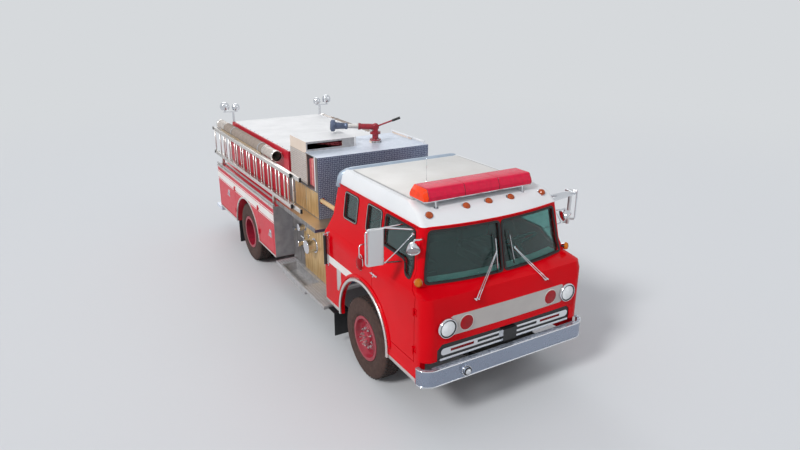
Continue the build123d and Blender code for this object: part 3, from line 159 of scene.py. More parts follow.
def enamel(name, fresh, faded, rough, coat, dust, patch, shine=0.5):
    """Stoved enamel: large soft fading, a faint orange peel under clear gloss, dust at the sills."""
    mat, tree, shader, place = material(name)
    colour = two_tone(tree, noise_mask(tree, place, patch, 0.3, 0.75, 3.0), fresh, faded)
    if dust:
        colour = low_dirt(tree, place, colour, "#8A7A6C", 1.0, dust)
    wear = noise_mask(tree, place, 0.06, 0.3, 0.8)
    peel = noise(tree, place, ORANGE_PEEL, 1.0)
    feed(tree, shader, {"Base Color": colour, "Specular IOR Level": shine,
                        "Roughness": worn_gloss(tree, wear, rough, 0.12),
                        "Normal": relief(tree, peel, 0.00006),
                        "Coat Weight": coat, "Coat Roughness": 0.06})
    return mat


def bright_metal(name, colour, rough, spread, grain=None):
    """Polished or brushed metal: smears and water marks in its gloss, and a grain if brushed."""
    mat, tree, shader, place = material(name)
    smear = noise_mask(tree, place, 0.09, 0.3, 0.7, 5.0)
    feed(tree, shader, {"Base Color": linear(colour), "Metallic": 1.0,
                        "Roughness": worn_gloss(tree, smear, rough, spread)})
    if grain:
        scratches = noise(tree, place, BRUSH_LINES, 2.0, grain)
        feed(tree, shader, {"Normal": relief(tree, scratches, 0.00004)})
    return mat


def streaked_metal(name, colour, second, streak, metallic, rough):
    """Brushed sheet with upright streaks where water ran down it, about 30 mm apart."""
    mat, tree, shader, place = material(name)
    blotch = noise_mask(tree, place, 0.30, 0.35, 0.65, 3.0)
    runs = noise_mask(tree, place, 0.030, 0.42, 0.66, 3.0, (1, 1, 0.06))
    scratches = noise(tree, place, BRUSH_LINES, 2.0, (1, 1, 0.04))
    shade = two_tone(tree, blotch, colour, second)
    feed(tree, shader, {"Base Color": two_tone(tree, runs, shade, streak), "Metallic": metallic,
                        "Roughness": worn_gloss(tree, runs, rough, 0.16),
                        "Normal": relief(tree, scratches, 0.00004)})
    return mat


def plain_finish(name, colour, second, rough, size, depth, grain=0.003, metallic=0.0, dust=0.0,
                 coat=0.0):
    """Moulded, painted or cast stuff with blotches of a second colour and a fine grain."""
    mat, tree, shader, place = material(name)
    shade = two_tone(tree, noise_mask(tree, place, size, 0.35, 0.7), colour, second)
    if dust:
        shade = low_dirt(tree, place, shade, "#80705F", 1.1, dust)
    feed(tree, shader, {"Base Color": shade, "Roughness": rough, "Metallic": metallic,
                        "Coat Weight": coat,
                        "Normal": relief(tree, noise(tree, place, grain, 3.0), depth)})
    return mat


def lens(name, colour, rough=0.08, ribs=0.0, transmission=0.35):
    """Moulded acrylic lens: coloured through, glossy, with fine optic ribs if asked for."""
    mat, tree, shader, place = material(name)
    deep = [c * 0.8 for c in linear(colour)[:3]] + [1.0]
    shade = two_tone(tree, noise_mask(tree, place, 0.05, 0.3, 0.8), colour, deep)
    feed(tree, shader, {"Base Color": shade, "Roughness": rough, "Coat Weight": 0.1,
                        "Transmission Weight": transmission, "Specular IOR Level": 0.2})
    if ribs:
        wave = add_node(tree, "ShaderNodeTexWave", {"Vector": place, "Scale": 1 / (ribs * 6.28),
                                                    "Distortion": 0.0}, bands_direction="X")
        feed(tree, shader, {"Normal": relief(tree, wave.outputs[1], 0.0012)})
    return mat


def window_glass(name):
    """Laminated green-tinted safety glass, a little dusty."""
    mat, tree, shader, place = material(name)
    film = noise_mask(tree, place, 0.25, 0.3, 0.8)
    feed(tree, shader, {"Base Color": two_tone(tree, film, "#9CCBC6", "#86B9B4"), "IOR": 1.45,
                        "Roughness": worn_gloss(tree, film, 0.0, 0.03),
                        "Transmission Weight": 0.97})
    return mat


# Enamels and painted sheet
CAB_RED = enamel("cab_enamel_red", "#D80012", "#C6000E", 0.13, 0.05, 0.0, 0.9, 0.08)
BODY_RED = enamel("body_enamel_faded_red", "#CE2739", "#BE1F30", 0.34, 0.12, 0.12, 0.9, 0.3)
ROOF_WHITE = enamel("roof_enamel_white", "#E6E6E7", "#DDDEE0", 0.28, 0.2, 0.0, 0.5)
ROOF_PANEL = enamel("roof_panel_off_white", "#DCD9D5", "#D0CCC7", 0.45, 0.1, 0.0, 0.4)
STRIPE_WHITE = enamel("stripe_white_sheet", "#E6E1DE", "#DCD6D2", 0.4, 0.1, 0.15, 0.3, 0.3)
CREAM = enamel("front_panel_cream", "#BDB7B3", "#B2ACA9", 0.38, 0.1, 0.0, 0.3, 0.3)
CHEEK = enamel("hose_tray_cream", "#E6D5C6", "#DAC7B6", 0.4, 0.1, 0.0, 0.3, 0.3)

# Bright, brushed and weathered metals
CHROME = bright_metal("chrome_plate", "#DCDEE2", 0.05, 0.05)
PAN_CHROME = plain_finish("worn_chrome_pan", "#C9D0DC", "#7E8798", 0.25, 0.035, 0.0004, 0.012, 0.6)
BUMPER_CHROME = bright_metal("bumper_plate", "#9AA3B4", 0.22, 0.12)
ALUMINIUM = bright_metal("rolled_aluminium", "#E2DEDA", 0.26, 0.12, (0.05, 1, 1))
WARM_ALUMINIUM = bright_metal("warm_rolled_aluminium", "#E6CFAE", 0.34, 0.12, (1, 0.05, 1))
DULL_ALUMINIUM = plain_finish("weathered_aluminium", "#B5B3B3", "#9E9C9D", 0.45, 0.06, 0.00005,
                              metallic=0.35)
SHEET_GREY = plain_finish("weathered_steel_sheet", "#A09EA1", "#8C8A8E", 0.42, 0.11, 0.00005, 0.004,
                          0.3)
# Upright treadplate on the pump house's front, in the gap behind the cab: a dark blue-grey copy of the
# pale deck plate, painted shade
SHADED_TREADPLATE = plain_finish("treadplate_aluminium_painted_shade", "#5E6A85", "#6E7A96", 0.4, 0.05, 0.00005,
                          metallic=0.6)
# Lugs on that upright treadplate, darker than the deck's pale lugs: painted shade
SHADED_LUG_METAL = plain_finish("lug_aluminium_painted_shade", "#B9C4D8", "#A4B0C6", 0.34, 0.03, 0.00003, 0.002, 0.55)
PALE_LUG = plain_finish("pale_lug_aluminium", "#DEE3EA", "#C9CFD8", 0.34, 0.03, 0.00003, 0.002, 0.5)
WARM_PLATE = plain_finish("warm_treadplate", "#C3B5A9", "#B0A297", 0.4, 0.05, 0.00005, metallic=0.3)
DECK_PLATE = plain_finish("deck_treadplate", "#D3DAE6", "#C4CCD9", 0.38, 0.06, 0.00005, metallic=0.35)
ROLL_GREY = plain_finish("rolled_edge_grey", "#AEBCCB", "#9DABBB", 0.35, 0.08, 0.00004, 0.004, 0.3)
GOLD_PANEL = streaked_metal("warm_stainless_panel", "#E2C48F", "#D0AC74", "#B98D58", 0.45, 0.3)
GREY_PANEL = streaked_metal("grey_stainless_panel", "#8F8B8A", "#7C7877", "#696564", 0.4, 0.34)
NOZZLE = plain_finish("nozzle_anodised_dark", "#667189", "#535E75", 0.3, 0.03, 0.00005, 0.002, 0.5)
HOSE_END = plain_finish("suction_hose_sleeve", "#C6BCB4", "#B2A8A0", 0.45, 0.05, 0.0001, 0.003, 0.3)
MIRROR = bright_metal("mirror_silvering", "#E4E8EA", 0.02, 0.01)
MIRROR_BACK = bright_metal("mirror_head_aluminium", "#D9DADB", 0.34, 0.08, (1, 1, 0.05))

# Rubber, plastic, paint, wood and cloth
RUBBER = plain_finish("seal_rubber_black", "#151516", "#1F1F20", 0.6, 0.04, 0.0001)
TYRE = plain_finish("tyre_rubber_dusty", "#3B2822", "#4A352E", 0.85, 0.05, 0.0003, 0.002)
TREAD = plain_finish("tread_rubber", "#2E2624", "#3A312E", 0.9, 0.03, 0.0004)
WHEEL_RED = plain_finish("wheel_enamel_red", "#9E1830", "#861428", 0.34, 0.08, 0.00005, 0.005,
                         coat=0.3)
REAR_WHEEL_RED = plain_finish("rear_wheel_enamel", "#A01C34", "#85172B", 0.42, 0.08, 0.00005, 0.005,
                              coat=0.2)
BLACK_PAINT = plain_finish("chassis_paint_black", "#161514", "#26221E", 0.5, 0.09, 0.00008, 0.004,
                           dust=0.35)
CAST = plain_finish("cast_iron_painted", "#1C1B1A", "#332C25", 0.62, 0.05, 0.0006, 0.004, 0.2, 0.4)
PLASTIC = plain_finish("moulded_black_plastic", "#191A1C", "#232427", 0.45, 0.05, 0.0001, 0.0015)
# Dash top near-white, much lighter than the dash: painted reflection of the bright band at the
# windscreen's foot
DASH_TOP_REFLECTION = plain_finish("dash_top_painted_reflection", "#F2FAF8", "#DDEEEA", 0.5, 0.06, 0.0002)
DASH = plain_finish("dash_padding_grey", "#8FA19B", "#7E918B", 0.6, 0.05, 0.0002, 0.002)
SEAT = plain_finish("seat_vinyl_black", "#202022", "#2B2A2C", 0.42, 0.07, 0.0003, 0.0025)
FLOOR_MAT = plain_finish("floor_mat_rubber", "#1D1D1D", "#292725", 0.8, 0.06, 0.0005, 0.004)
GUN_RED = plain_finish("gun_enamel_red", "#A01226", "#85101F", 0.32, 0.04, 0.00008, 0.004, coat=0.4)
WOOD = plain_finish("varnished_ash", "#D9B98A", "#C6A070", 0.4, 0.02, 0.00008, 0.004, coat=0.15)
HOSE_GREY = plain_finish("suction_hose_rubber", "#9C8D82", "#877A70", 0.62, 0.06, 0.0003)
HOSE_RED = plain_finish("fire_hose_jacket_red", "#C65A5F", "#A8454D", 0.85, 0.04, 0.0008, 0.002)
HOSE_PINK = plain_finish("fire_hose_jacket_pink", "#E59A92", "#D07C76", 0.85, 0.04, 0.0008, 0.002)
COVER = plain_finish("cover_vinyl_white", "#E1E0E0", "#D6D5D5", 0.5, 0.35, 0.0004, 0.0015)
CAP_WHITE = plain_finish("cap_enamel_grey_white", "#CFCDCB", "#B9B6B3", 0.34, 0.05, 0.00005)
BOWL = plain_finish("lamp_bowl_silvering", "#F6F8FA", "#E9EDF1", 0.3, 0.03, 0.0001, 0.004)
GRIP = plain_finish("black_grip", "#141414", "#1D1D1D", 0.5, 0.02, 0.0002, 0.002)

# Glass and lenses
GLASS = window_glass("tinted_window_glass")
AMBER = lens("amber_lens", "#E8860F")
ORANGE = lens("orange_lens", "#C8561F", 0.12)
RED_LENS = lens("red_lens", "#A50512", 0.1, 0.004, 0.0)
MAGENTA = lens("light_bar_lens", "#E2053F", 0.16, 0.006, 0.0)
BAR_ORANGE = lens("light_bar_end_lens", "#FF4410", 0.16, 0.006, 0.0)
CLEAR = lens("clear_lens", "#EEF2F5", 0.04, 0.006, 0.7)
HEADLAMP_LENS = lens("sealed_beam_lens", "#FBFDFF", 0.06, 0.006, 0.12)

# Mesh helpers. Each adds faces to a mesh being built, and close_piece makes the object.


def at(x, y, z):
    """A point whose place along the vehicle is counted from the front axle."""
    return Vector((x, FRONT_AXLE + y, z))


def new_meshes(count):
    """So many empty meshes to build in."""
    return [bmesh.new() for number in range(count)]


def join_rings(bm, rings, closed=True):
    """Four-sided faces between each row of points and the next; a closed row is a ring."""
    faces = []
    for low, high in zip(rings, rings[1:]):
        count = len(low)
        for k in range(count if closed else count - 1):
            n = (k + 1) % count
            faces.append(bm.faces.new((low[k], low[n], high[n], high[k])))
    return faces


def round_edges(bm, edges, rounding, steps=2):
    """Rounds some of a mesh's edges."""
    bmesh.ops.bevel(bm, geom=list(edges), offset=rounding, segments=steps, affect="EDGES",
                    profile=0.5)


def add_block(bm, low, high, rounding=0.002, steps=2):
    """A block between two corners with rounded edges."""
    low, high = [min(a, b) for a, b in zip(low, high)], [max(a, b) for a, b in zip(low, high)]
    size = [h - l for l, h in zip(low, high)]
    centre = [(h + l) / 2 for l, h in zip(low, high)]
    made = bmesh.ops.create_cube(bm, size=1.0)["verts"]
    bmesh.ops.scale(bm, vec=size, verts=made)
    bmesh.ops.translate(bm, vec=centre, verts=made)
    if rounding:
        round_edges(bm, {e for v in made for e in v.link_edges}, min(rounding, min(size) * 0.45),
                    steps)


def add_prism(bm, outline, start, end, axis=0, rounding=0.0):
    """A closed outline pushed along an axis (0, 1 or 2) from start to end."""
    rings = []
    for along in (start, end):
        spots = [list(point) for point in outline]
        for spot in spots:
            spot.insert(axis, along)
        rings.append([bm.verts.new(spot) for spot in spots])
    faces = [bm.faces.new(rings[0]), bm.faces.new(rings[1][::-1])] + join_rings(bm, rings)
    bmesh.ops.recalc_face_normals(bm, faces=faces)
    if rounding:
        round_edges(bm, {e for f in faces for e in f.edges}, rounding)


def curved(start, corner, end, steps):
    """Points on a round bend between two points, drawn towards the corner."""
    for i in range(steps + 1):
        t = i / steps
        yield start * (1 - t) ** 2 + corner * 2 * t * (1 - t) + end * t ** 2


def bent(points, bend, steps=6):
    """A route through points with its corners turned into round bends."""
    points = [Vector(p) for p in points]
    route = [points[0]]
    for before, corner, after in zip(points, points[1:], points[2:]):
        back, ahead = before - corner, after - corner
        reach = min(bend, back.length * 0.49, ahead.length * 0.49)
        route += curved(corner + back.normalized() * reach, corner,
                        corner + ahead.normalized() * reach, steps)
    return route + [points[-1]]


def soft_corner(points, radius, steps=5):
    """A closed flat outline in 3-D with its corners rounded."""
    points = [Vector(p) for p in points]
    route = []
    for before, corner, after in zip(points[-1:] + points, points, points[1:] + points[:1]):
        back, ahead = before - corner, after - corner
        reach = min(radius, back.length * 0.45, ahead.length * 0.45)
        route += curved(corner + back.normalized() * reach, corner,
                        corner + ahead.normalized() * reach, steps)
    return route


def fine(points, step=0.05, closed=True):
    """A closed outline or an open route with points added along its edges."""
    route = []
    ends = points[1:] + points[:1] if closed else points[1:]
    for start, end in zip(points, ends):
        count = max(1, int((end - start).length / step))
        route += [start + (end - start) * i / count for i in range(count)]
    return route if closed else route + points[-1:]


def heading(route, i):
    """The direction of an open route at one of its points."""
    return (route[min(i + 1, len(route) - 1)] - route[max(i - 1, 0)]).normalized()


def ring_points(centre, side, up, radius, count):
    """Points on a circle whose plane two directions span."""
    return [centre + (side * cos(2 * pi * k / count) + up * sin(2 * pi * k / count)) * radius
            for k in range(count)]


def add_tube(bm, route, radius, sides=12, radii=None):
    """A round tube along a route, closed at both ends."""
    route = [Vector(p) for p in route]
    rings = []
    side = heading(route, 0).orthogonal().normalized()
    for i, spot in enumerate(route):
        ahead = heading(route, i)
        if i:
            side = (side - ahead * side.dot(ahead)).normalized()
        size = radii[i] if radii else radius
        rings.append([bm.verts.new(p) for p in ring_points(spot, side, ahead.cross(side), size,
                                                           sides)])
    join_rings(bm, rings)
    bm.faces.new(rings[0][::-1])
    bm.faces.new(rings[-1])


def add_turned(bm, profile, centre, axis, steps=32):
    """Turns a profile of (along, radius) about an axis and gives back the points made."""
    axis = Vector(axis).normalized()
    side = axis.orthogonal().normalized()
    up = axis.cross(side)
    centre = Vector(centre)
    rings = []
    for along, radius in profile:
        spots = ring_points(centre + axis * along, side, up, radius, steps if radius > 1e-6 else 1)
        rings.append([bm.verts.new(p) for p in spots])
    made = [vert for ring in rings for vert in ring]
    if len(rings[0]) > 1 and len(rings[-1]) > 1:
        rings.append(rings[0])
    faces = []
    for low, high in zip(rings, rings[1:]):
        for k in range(steps):
            n = (k + 1) % steps
            corners = (low[k % len(low)], low[n % len(low)], high[n % len(high)],
                       high[k % len(high)])
            corners = list(dict.fromkeys(corners))
            if len(corners) > 2:
                faces.append(bm.faces.new(corners))
    bmesh.ops.recalc_face_normals(bm, faces=faces)
    return made


def add_turned_set(forms, centre, axis):
    """Several turned forms on one axis, each given as (mesh, steps, profile)."""
    for bm, steps, profile in forms:
        add_turned(bm, profile, centre, axis, steps)


def add_ring(bm, route, profile):
    """A closed loop: a small cross-section (outwards, sideways) carried round a flat route."""
    count = len(route)
    middle = sum(route, Vector()) / count
    flat = (route[1] - route[0]).cross(route[count // 3] - route[0]).normalized()
    rings = []
    for i, spot in enumerate(route):
        ahead = (route[(i + 1) % count] - route[i - 1]).normalized()
        out = ahead.cross(flat).normalized()
        if out.dot(spot - middle) < 0:
            out = -out
        rings.append([bm.verts.new(spot + out * a + flat * b) for a, b in profile])
    bmesh.ops.recalc_face_normals(bm, faces=join_rings(bm, rings + rings[:1]))


def add_band(bm, centre, radii, angles, reach, steps):
    """A flat arched band in the side view: centre (y, z), two radii, two angles, two x."""
    rings = []
    for i in range(steps + 1):
        angle = radians(angles[0] + (angles[1] - angles[0]) * i / steps)
        rings.append([bm.verts.new((x, centre[0] + cos(angle) * r, centre[1] + sin(angle) * r))
                      for x, r in ((reach[0], radii[0]), (reach[1], radii[0]),
                                   (reach[1], radii[1]), (reach[0], radii[1]))])
    faces = [bm.faces.new(rings[0]), bm.faces.new(rings[-1][::-1])] + join_rings(bm, rings)
    bmesh.ops.recalc_face_normals(bm, faces=faces)


def in_scene(name, data):
    """A mesh, lamp or camera as an object of the scene."""
    made = bpy.data.objects.new(name, data)
    bpy.context.scene.collection.objects.link(made)
    return made


def riding(name, mesh, body):
    """A mesh as a piece that rides on a body."""
    piece = in_scene(name, mesh)
    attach(piece, body)
    return piece


def final_mesh(piece):
    """A piece's mesh as its modifiers leave it."""
    bpy.context.view_layer.update()
    mesh = bpy.data.meshes.new_from_object(
        piece.evaluated_get(bpy.context.evaluated_depsgraph_get()))
    piece.modifiers.clear()
    return mesh


def close_piece(bm, name, mat, body, angle=35):
    """The mesh as an object that rides on a body, smooth except at sharp edges."""
    for edge in bm.edges:
        edge.smooth = len(edge.link_faces) == 2 and edge.calc_face_angle(0) < radians(angle)
    for face in bm.faces:
        face.smooth = True
    mesh = bpy.data.meshes.new(name)
    bm.to_mesh(mesh)
    bm.free()
    mesh.materials.append(mat)
    return riding(name, mesh, body)


def close_all(body, *pieces):
    """Closes meshes that ride on one body, each given as (mesh, name, finish, slot); the slot is not
    used.
    """
    for bm, name, mat, finish_slot in pieces:
        close_piece(bm, name, mat, body)


def dressed(node, mat, body, rounding=0.0, reshape=None):
    """A node shown as a merged copy with smooth curves and small rounded edges."""
    bm = bmesh.new()
    bm.from_mesh(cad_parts[node].data)
    bmesh.ops.remove_doubles(bm, verts=bm.verts, dist=0.00002)
    if reshape:
        reshape(bm)
    bmesh.ops.dissolve_limit(bm, angle_limit=radians(0.6), verts=bm.verts, edges=bm.edges)
    piece = close_piece(bm, node + "_shell", mat, body, 32)
    if rounding:
        edge = piece.modifiers.new("edge", "BEVEL")
        edge.width = rounding
        edge.segments = 2
        edge.limit_method = "ANGLE"
        edge.angle_limit = radians(40)
        edge.harden_normals = False
    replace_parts(piece, node)
    return piece


def paint(mat, *nodes):
    """Gives nodes their finish."""
    for name in nodes:
        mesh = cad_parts[name].data
        mesh.materials.clear()
        mesh.materials.append(mat)


def face_finish(piece, mat, test):
    """Gives the faces whose centre and normal pass a test another finish."""
    mesh = piece.data
    mesh.materials.append(mat)
    index = len(mesh.materials) - 1
    for face in mesh.polygons:
        if test(face.center, face.normal):
            face.material_index = index


# Trees of Geometry Nodes. Their inputs are set by identifier before they are evaluated.


def open_tree(name, inputs):
    """An empty tree with a geometry input and output and named inputs; also its input node."""
    tree = bpy.data.node_groups.new(name, "GeometryNodeTree")
    tree.interface.new_socket(name="Geometry", in_out="INPUT", socket_type="NodeSocketGeometry")
    tree.interface.new_socket(name="Geometry", in_out="OUTPUT", socket_type="NodeSocketGeometry")
    for label, kind in inputs:
        tree.interface.new_socket(name=label, in_out="INPUT", socket_type="NodeSocket" + kind)
    return tree, add_node(tree, "NodeGroupInput")


def grown_on(tree, mesh, name, values, body):
    """A tree's result on a mesh of points, as a plain piece that rides on a body."""
    seedling = in_scene(name + "_points", mesh)
    growth = seedling.modifiers.new("growth", "NODES")
    growth.node_group = tree
    for item in tree.interface.items_tree:
        if item.in_out == "INPUT" and item.name in values:
            growth[item.identifier] = values[item.name]
    result = final_mesh(seedling)
    bpy.data.objects.remove(seedling)
    result.name = name
    return riding(name, result, body)


def stud_tree():
    """A small faceted head on every point: rivets, screws, nuts, treadplate lugs, tread blocks."""
    tree, ins = open_tree("studs", (("Radius", "Float"), ("Taper", "Float"), ("Height", "Float"),
                                    ("Sides", "Int"), ("Finish", "Material")))
    given = ins.outputs
    top = add_node(tree, "ShaderNodeMath", {0: given["Radius"], 1: given["Taper"]},
                   operation="MULTIPLY")
    head = add_node(tree, "GeometryNodeMeshCone",
                    {"Vertices": given["Sides"], "Radius Top": top.outputs[0],
                     "Radius Bottom": given["Radius"], "Depth": given["Height"]})
    turn = add_node(tree, "GeometryNodeInputNamedAttribute", {"Name": "turn"},
                    data_type="FLOAT_VECTOR")
    stretch = add_node(tree, "GeometryNodeInputNamedAttribute", {"Name": "stretch"},
                       data_type="FLOAT_VECTOR")
    spin = add_node(tree, "FunctionNodeEulerToRotation", {0: turn.outputs[0]})
    heads = add_node(tree, "GeometryNodeInstanceOnPoints",
                     {"Points": given["Geometry"], "Instance": head.outputs[0],
                      "Rotation": spin.outputs[0], "Scale": stretch.outputs[0]})
    real = add_node(tree, "GeometryNodeRealizeInstances", {"Geometry": heads.outputs[0]})
    done = add_node(tree, "GeometryNodeSetMaterial",
                    {"Geometry": real.outputs[0], "Material": given["Finish"]})
    add_node(tree, "NodeGroupOutput", {"Geometry": done.outputs[0]})
    return tree


STUDS = stud_tree()


def studs(name, spots, mat, body, radius, height, sides=8, taper=0.6):
    """Heads on spots, each (point, outward direction, turn about it, (long, wide) stretch)."""
    mesh = bpy.data.meshes.new(name + "_points")
    mesh.from_pydata([tuple(spot[0]) for spot in spots], [], [])
    turns = mesh.attributes.new("turn", "FLOAT_VECTOR", "POINT")
    stretches = mesh.attributes.new("stretch", "FLOAT_VECTOR", "POINT")
    for i, spot in enumerate(spots):
        out, spin, stretch = spot[1:]
        facing = Vector(out).to_track_quat("Z", "Y").to_matrix()
        turns.data[i].vector = (facing @ Matrix.Rotation(radians(spin), 3, "Z")).to_euler()
        stretches.data[i].vector = (stretch[0], stretch[1], 1.0)
    values = {"Radius": radius, "Taper": taper, "Height": height, "Sides": sides, "Finish": mat}
    return grown_on(STUDS, mesh, name, values, body)


def ribbed_tree():
    """A hose along a line: its radius swells at every rib."""
    tree, ins = open_tree("ribbed_hose", (("Start", "Vector"), ("End", "Vector"),
                                          ("Radius", "Float"), ("Rib Height", "Float"),
                                          ("Rib Count", "Int"), ("Finish", "Material")))
    given = ins.outputs
    line = add_node(tree, "GeometryNodeCurvePrimitiveLine",
                    {"Start": given["Start"], "End": given["End"]})
    fine_count = add_node(tree, "ShaderNodeMath", {0: given["Rib Count"], 1: 6.0},
                          operation="MULTIPLY")
    steps = add_node(tree, "GeometryNodeResampleCurve",
                     {"Curve": line.outputs[0], "Count": fine_count.outputs[0]})
    along = add_node(tree, "GeometryNodeSplineParameter")
    turns = add_node(tree, "ShaderNodeMath", {0: along.outputs["Factor"], 1: given["Rib Count"]},
                     operation="MULTIPLY")
    phase = add_node(tree, "ShaderNodeMath", {0: turns.outputs[0], 1: 2 * pi},
                     operation="MULTIPLY")
    wave = add_node(tree, "ShaderNodeMath", {0: phase.outputs[0]}, operation="COSINE")
    swell = add_node(tree, "ShaderNodeMath",
                     {0: wave.outputs[0], 1: given["Rib Height"], 2: given["Radius"]},
                     operation="MULTIPLY_ADD")
    circle = add_node(tree, "GeometryNodeCurvePrimitiveCircle", {"Resolution": 28, "Radius": 1.0})
    skin = add_node(tree, "GeometryNodeCurveToMesh",
                    {"Curve": steps.outputs[0], "Profile Curve": circle.outputs[0],
                     "Scale": swell.outputs[0], "Fill Caps": True})
    real = add_node(tree, "GeometryNodeRealizeInstances", {"Geometry": skin.outputs[0]})
    smooth = add_node(tree, "GeometryNodeSetShadeSmooth", {"Geometry": real.outputs[0]})
    done = add_node(tree, "GeometryNodeSetMaterial",
                    {"Geometry": smooth.outputs[0], "Material": given["Finish"]})
    add_node(tree, "NodeGroupOutput", {"Geometry": done.outputs[0]})
    return tree


# Cab levels: height, half width, front at the middle, front at the corner, corner x
CAB_LEVELS = ((0.558, 1.131, -1.335, -1.318, 0.985), (1.490, 1.131, -1.335, -1.318, 0.985),
              (1.575, 1.119, -1.315, -1.290, 0.980), (1.628, 1.080, -1.192, -1.062, 0.985),
              (1.790, 1.003, -1.155, -1.018, 0.948), (2.240, 0.945, -1.054, -0.955, 0.879),
              (2.350, 0.922, -0.905, -0.835, 0.850), (2.418, 0.872, -0.640, -0.590, 0.800))
# The cab's back above the belt: height, distance from the front axle
BACK_LEVELS = ((1.628, 1.185), (1.790, 1.160), (2.240, 1.085), (2.350, 1.060), (2.418, 1.000))


def level_at(levels, z):
    """A row for a height, worked out between the rows below and above it."""
    for low, high in zip(levels, levels[1:]):
        if z <= high[0]:
            break
    t = (z - low[0]) / (high[0] - low[0])
    return [a + (b - a) * t for a, b in zip(low, high)]


def side_x(z):
    """How far out the cab's side is at a height."""
    return level_at(CAB_LEVELS, z)[1]


def front_y(x, z):
    """Where the cab's bowed front is at x and a height."""
    level = level_at(CAB_LEVELS, z)
    return FRONT_AXLE + level[2] + (level[3] - level[2]) * (x / level[4]) ** 2


def front_point(x, z, gap=0.0):
    """A point on the cab's front, or before it by a gap."""
    return Vector((x, front_y(x, z) - gap, z))


def finish_solids():
    """Finishes of the solids that stay as they are."""
    paint(BLACK_PAINT, "frame_rails", "driveshaft")
    paint(CAST, "front_axle", "rear_axle", "engine", "knuckle_right", "knuckle_left")
    paint(GLASS, "cab_glass", "door_glass_right", "door_glass_left")
    paint(FLOOR_MAT, "cab_floor")
    paint(PLASTIC, "mudflaps")


# The siren's x and z on the solid and in the photograph, and the mirror heads' uprights
SIREN_CAD = Vector((-0.700, 0.712))
SIREN = Vector((-0.630, 0.690))
MIRROR_X = 1.381
MIRROR_Y = FRONT_AXLE - 0.750
MIRROR_REACH = 0.104


def siren_moved(bm):
    """The siren a little nearer the middle, as the photograph has it."""
    for vert in bm.verts:
        if vert.co.y < FRONT_AXLE - 1.36 and (vert.co.xz - SIREN_CAD).length < 0.056:
            vert.co.x += SIREN.x - SIREN_CAD.x
            vert.co.z += SIREN.y - SIREN_CAD.y


def head_turned(bm):
    """The left mirror's head turned on its upright towards the driver, as the photograph has it."""
    middle = Vector((MIRROR_X, MIRROR_Y, 0))
    turn = Matrix.Rotation(radians(81), 3, "Z")
    for vert in bm.verts:
        if (vert.co.xy - middle.xy).length < MIRROR_REACH and 1.84 < vert.co.z < 2.255:
            vert.co = middle + turn @ (vert.co - middle)


def left_cheek_low(bm):
    """The pump house's left cheek stands no higher than its deck's rail."""
    for vert in bm.verts:
        if vert.co.x > 0.87 and vert.co.z > 2.45:
            vert.co.z = 2.430


def bumper_trim():
    """Bright rolled lips along the bumper's edges, and the siren's ring, dome and throat; the throat is
    a black sleeve, painted shade in the gap.
    """
    bm = bmesh.new()
    corner = ((1.179, -1.245), (1.179, -1.300), (1.139, -1.353), (1.057, -1.397))
    points = [at(-x, y, 0) for x, y in corner]
    points += [at(x, y, 0) for x, y in corner[::-1]]
    line = bent(points, 0.05)
    for z in (0.7965, 0.6045):
        add_tube(bm, [p + Vector((0, 0, z)) for p in line], 0.0085, 10)
    close_piece(bm, "bumper_lips", CHROME, "chassis")
    bm, dark = new_meshes(2)
    spot = at(SIREN.x, -1.395, SIREN.y)
    add_turned(bm, ((0.0, 0.055), (0.0, 0.063), (0.020, 0.063), (0.026, 0.060), (0.026, 0.053),
                    (0.020, 0.050), (0.0, 0.050)), spot, (0, -1, 0), 40)
    add_turned(bm, ((0.046, 0.0), (0.046, 0.030), (0.052, 0.036), (0.060, 0.031), (0.068, 0.018),
                    (0.071, 0.0)), spot, (0, -1, 0), 32)
    # Black sleeve in the gap between ring and dome: painted shade
    add_turned(dark, ((0.045, 0.0), (0.045, 0.050), (0.0475, 0.048), (0.0475, 0.0)), spot,
               (0, -1, 0), 32)
    close_all("chassis", (bm, "siren_ring_and_dome", CHROME, "chrome"),
              (dark, "siren_throat_painted_shade", PLASTIC, "cast_black"))


# Ladder sections: inner x, outer x, front end, back end, first rung; rail heights and rung step
LADDER_SECTIONS = ((1.133, 1.165, 2.250, 6.380, 2.370), (1.101, 1.133, 1.960, 6.200, 2.245))
RAIL_HEIGHTS = (1.600, 2.070)
RUNG_STEP = 0.356


def ladder():
    """Two ladder sections on edge: channel rails, round rungs, rubber feet and bolted clips."""
    rails, rungs, feet = new_meshes(3)
    for inner, outer, front, back, first in LADDER_SECTIONS:
        y0, y1 = FRONT_AXLE + front, FRONT_AXLE + back
        for z in RAIL_HEIGHTS:
            outline = [(-inner, z - 0.030), (-outer, z - 0.030), (-outer, z - 0.020),
                       (-outer + 0.010, z - 0.018), (-outer + 0.010, z + 0.018),
                       (-outer, z + 0.020), (-outer, z + 0.030), (-inner, z + 0.030)]
            add_prism(rails, outline, y0, y1, 1, 0.0012)
            for y in (y0 - 0.006, y1 - 0.010):
                add_block(feet, (-outer - 0.001, y, z - 0.032), (-inner + 0.001, y + 0.016, z + 0.032),
                          0.004)
        y = first
        while y < back - 0.05:
            middle = -(inner + outer) / 2
            add_tube(rungs, [at(middle, y, 1.620), at(middle, y, 2.050)], 0.0125, 12)
            y += RUNG_STEP
    for y in (3.050, 5.900):
        add_block(rails, at(-1.160, y - 0.020, 1.410), at(-1.110, y + 0.020, 1.600), 0.003)
    channels = close_piece(rails, "ladder_rails", ALUMINIUM, "chassis")
    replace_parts(channels, "ladder")
    close_all("chassis", (rungs, "ladder_rungs", ALUMINIUM, "bright_aluminium"),
              (feet, "ladder_end_caps", RUBBER, "cast_black"))


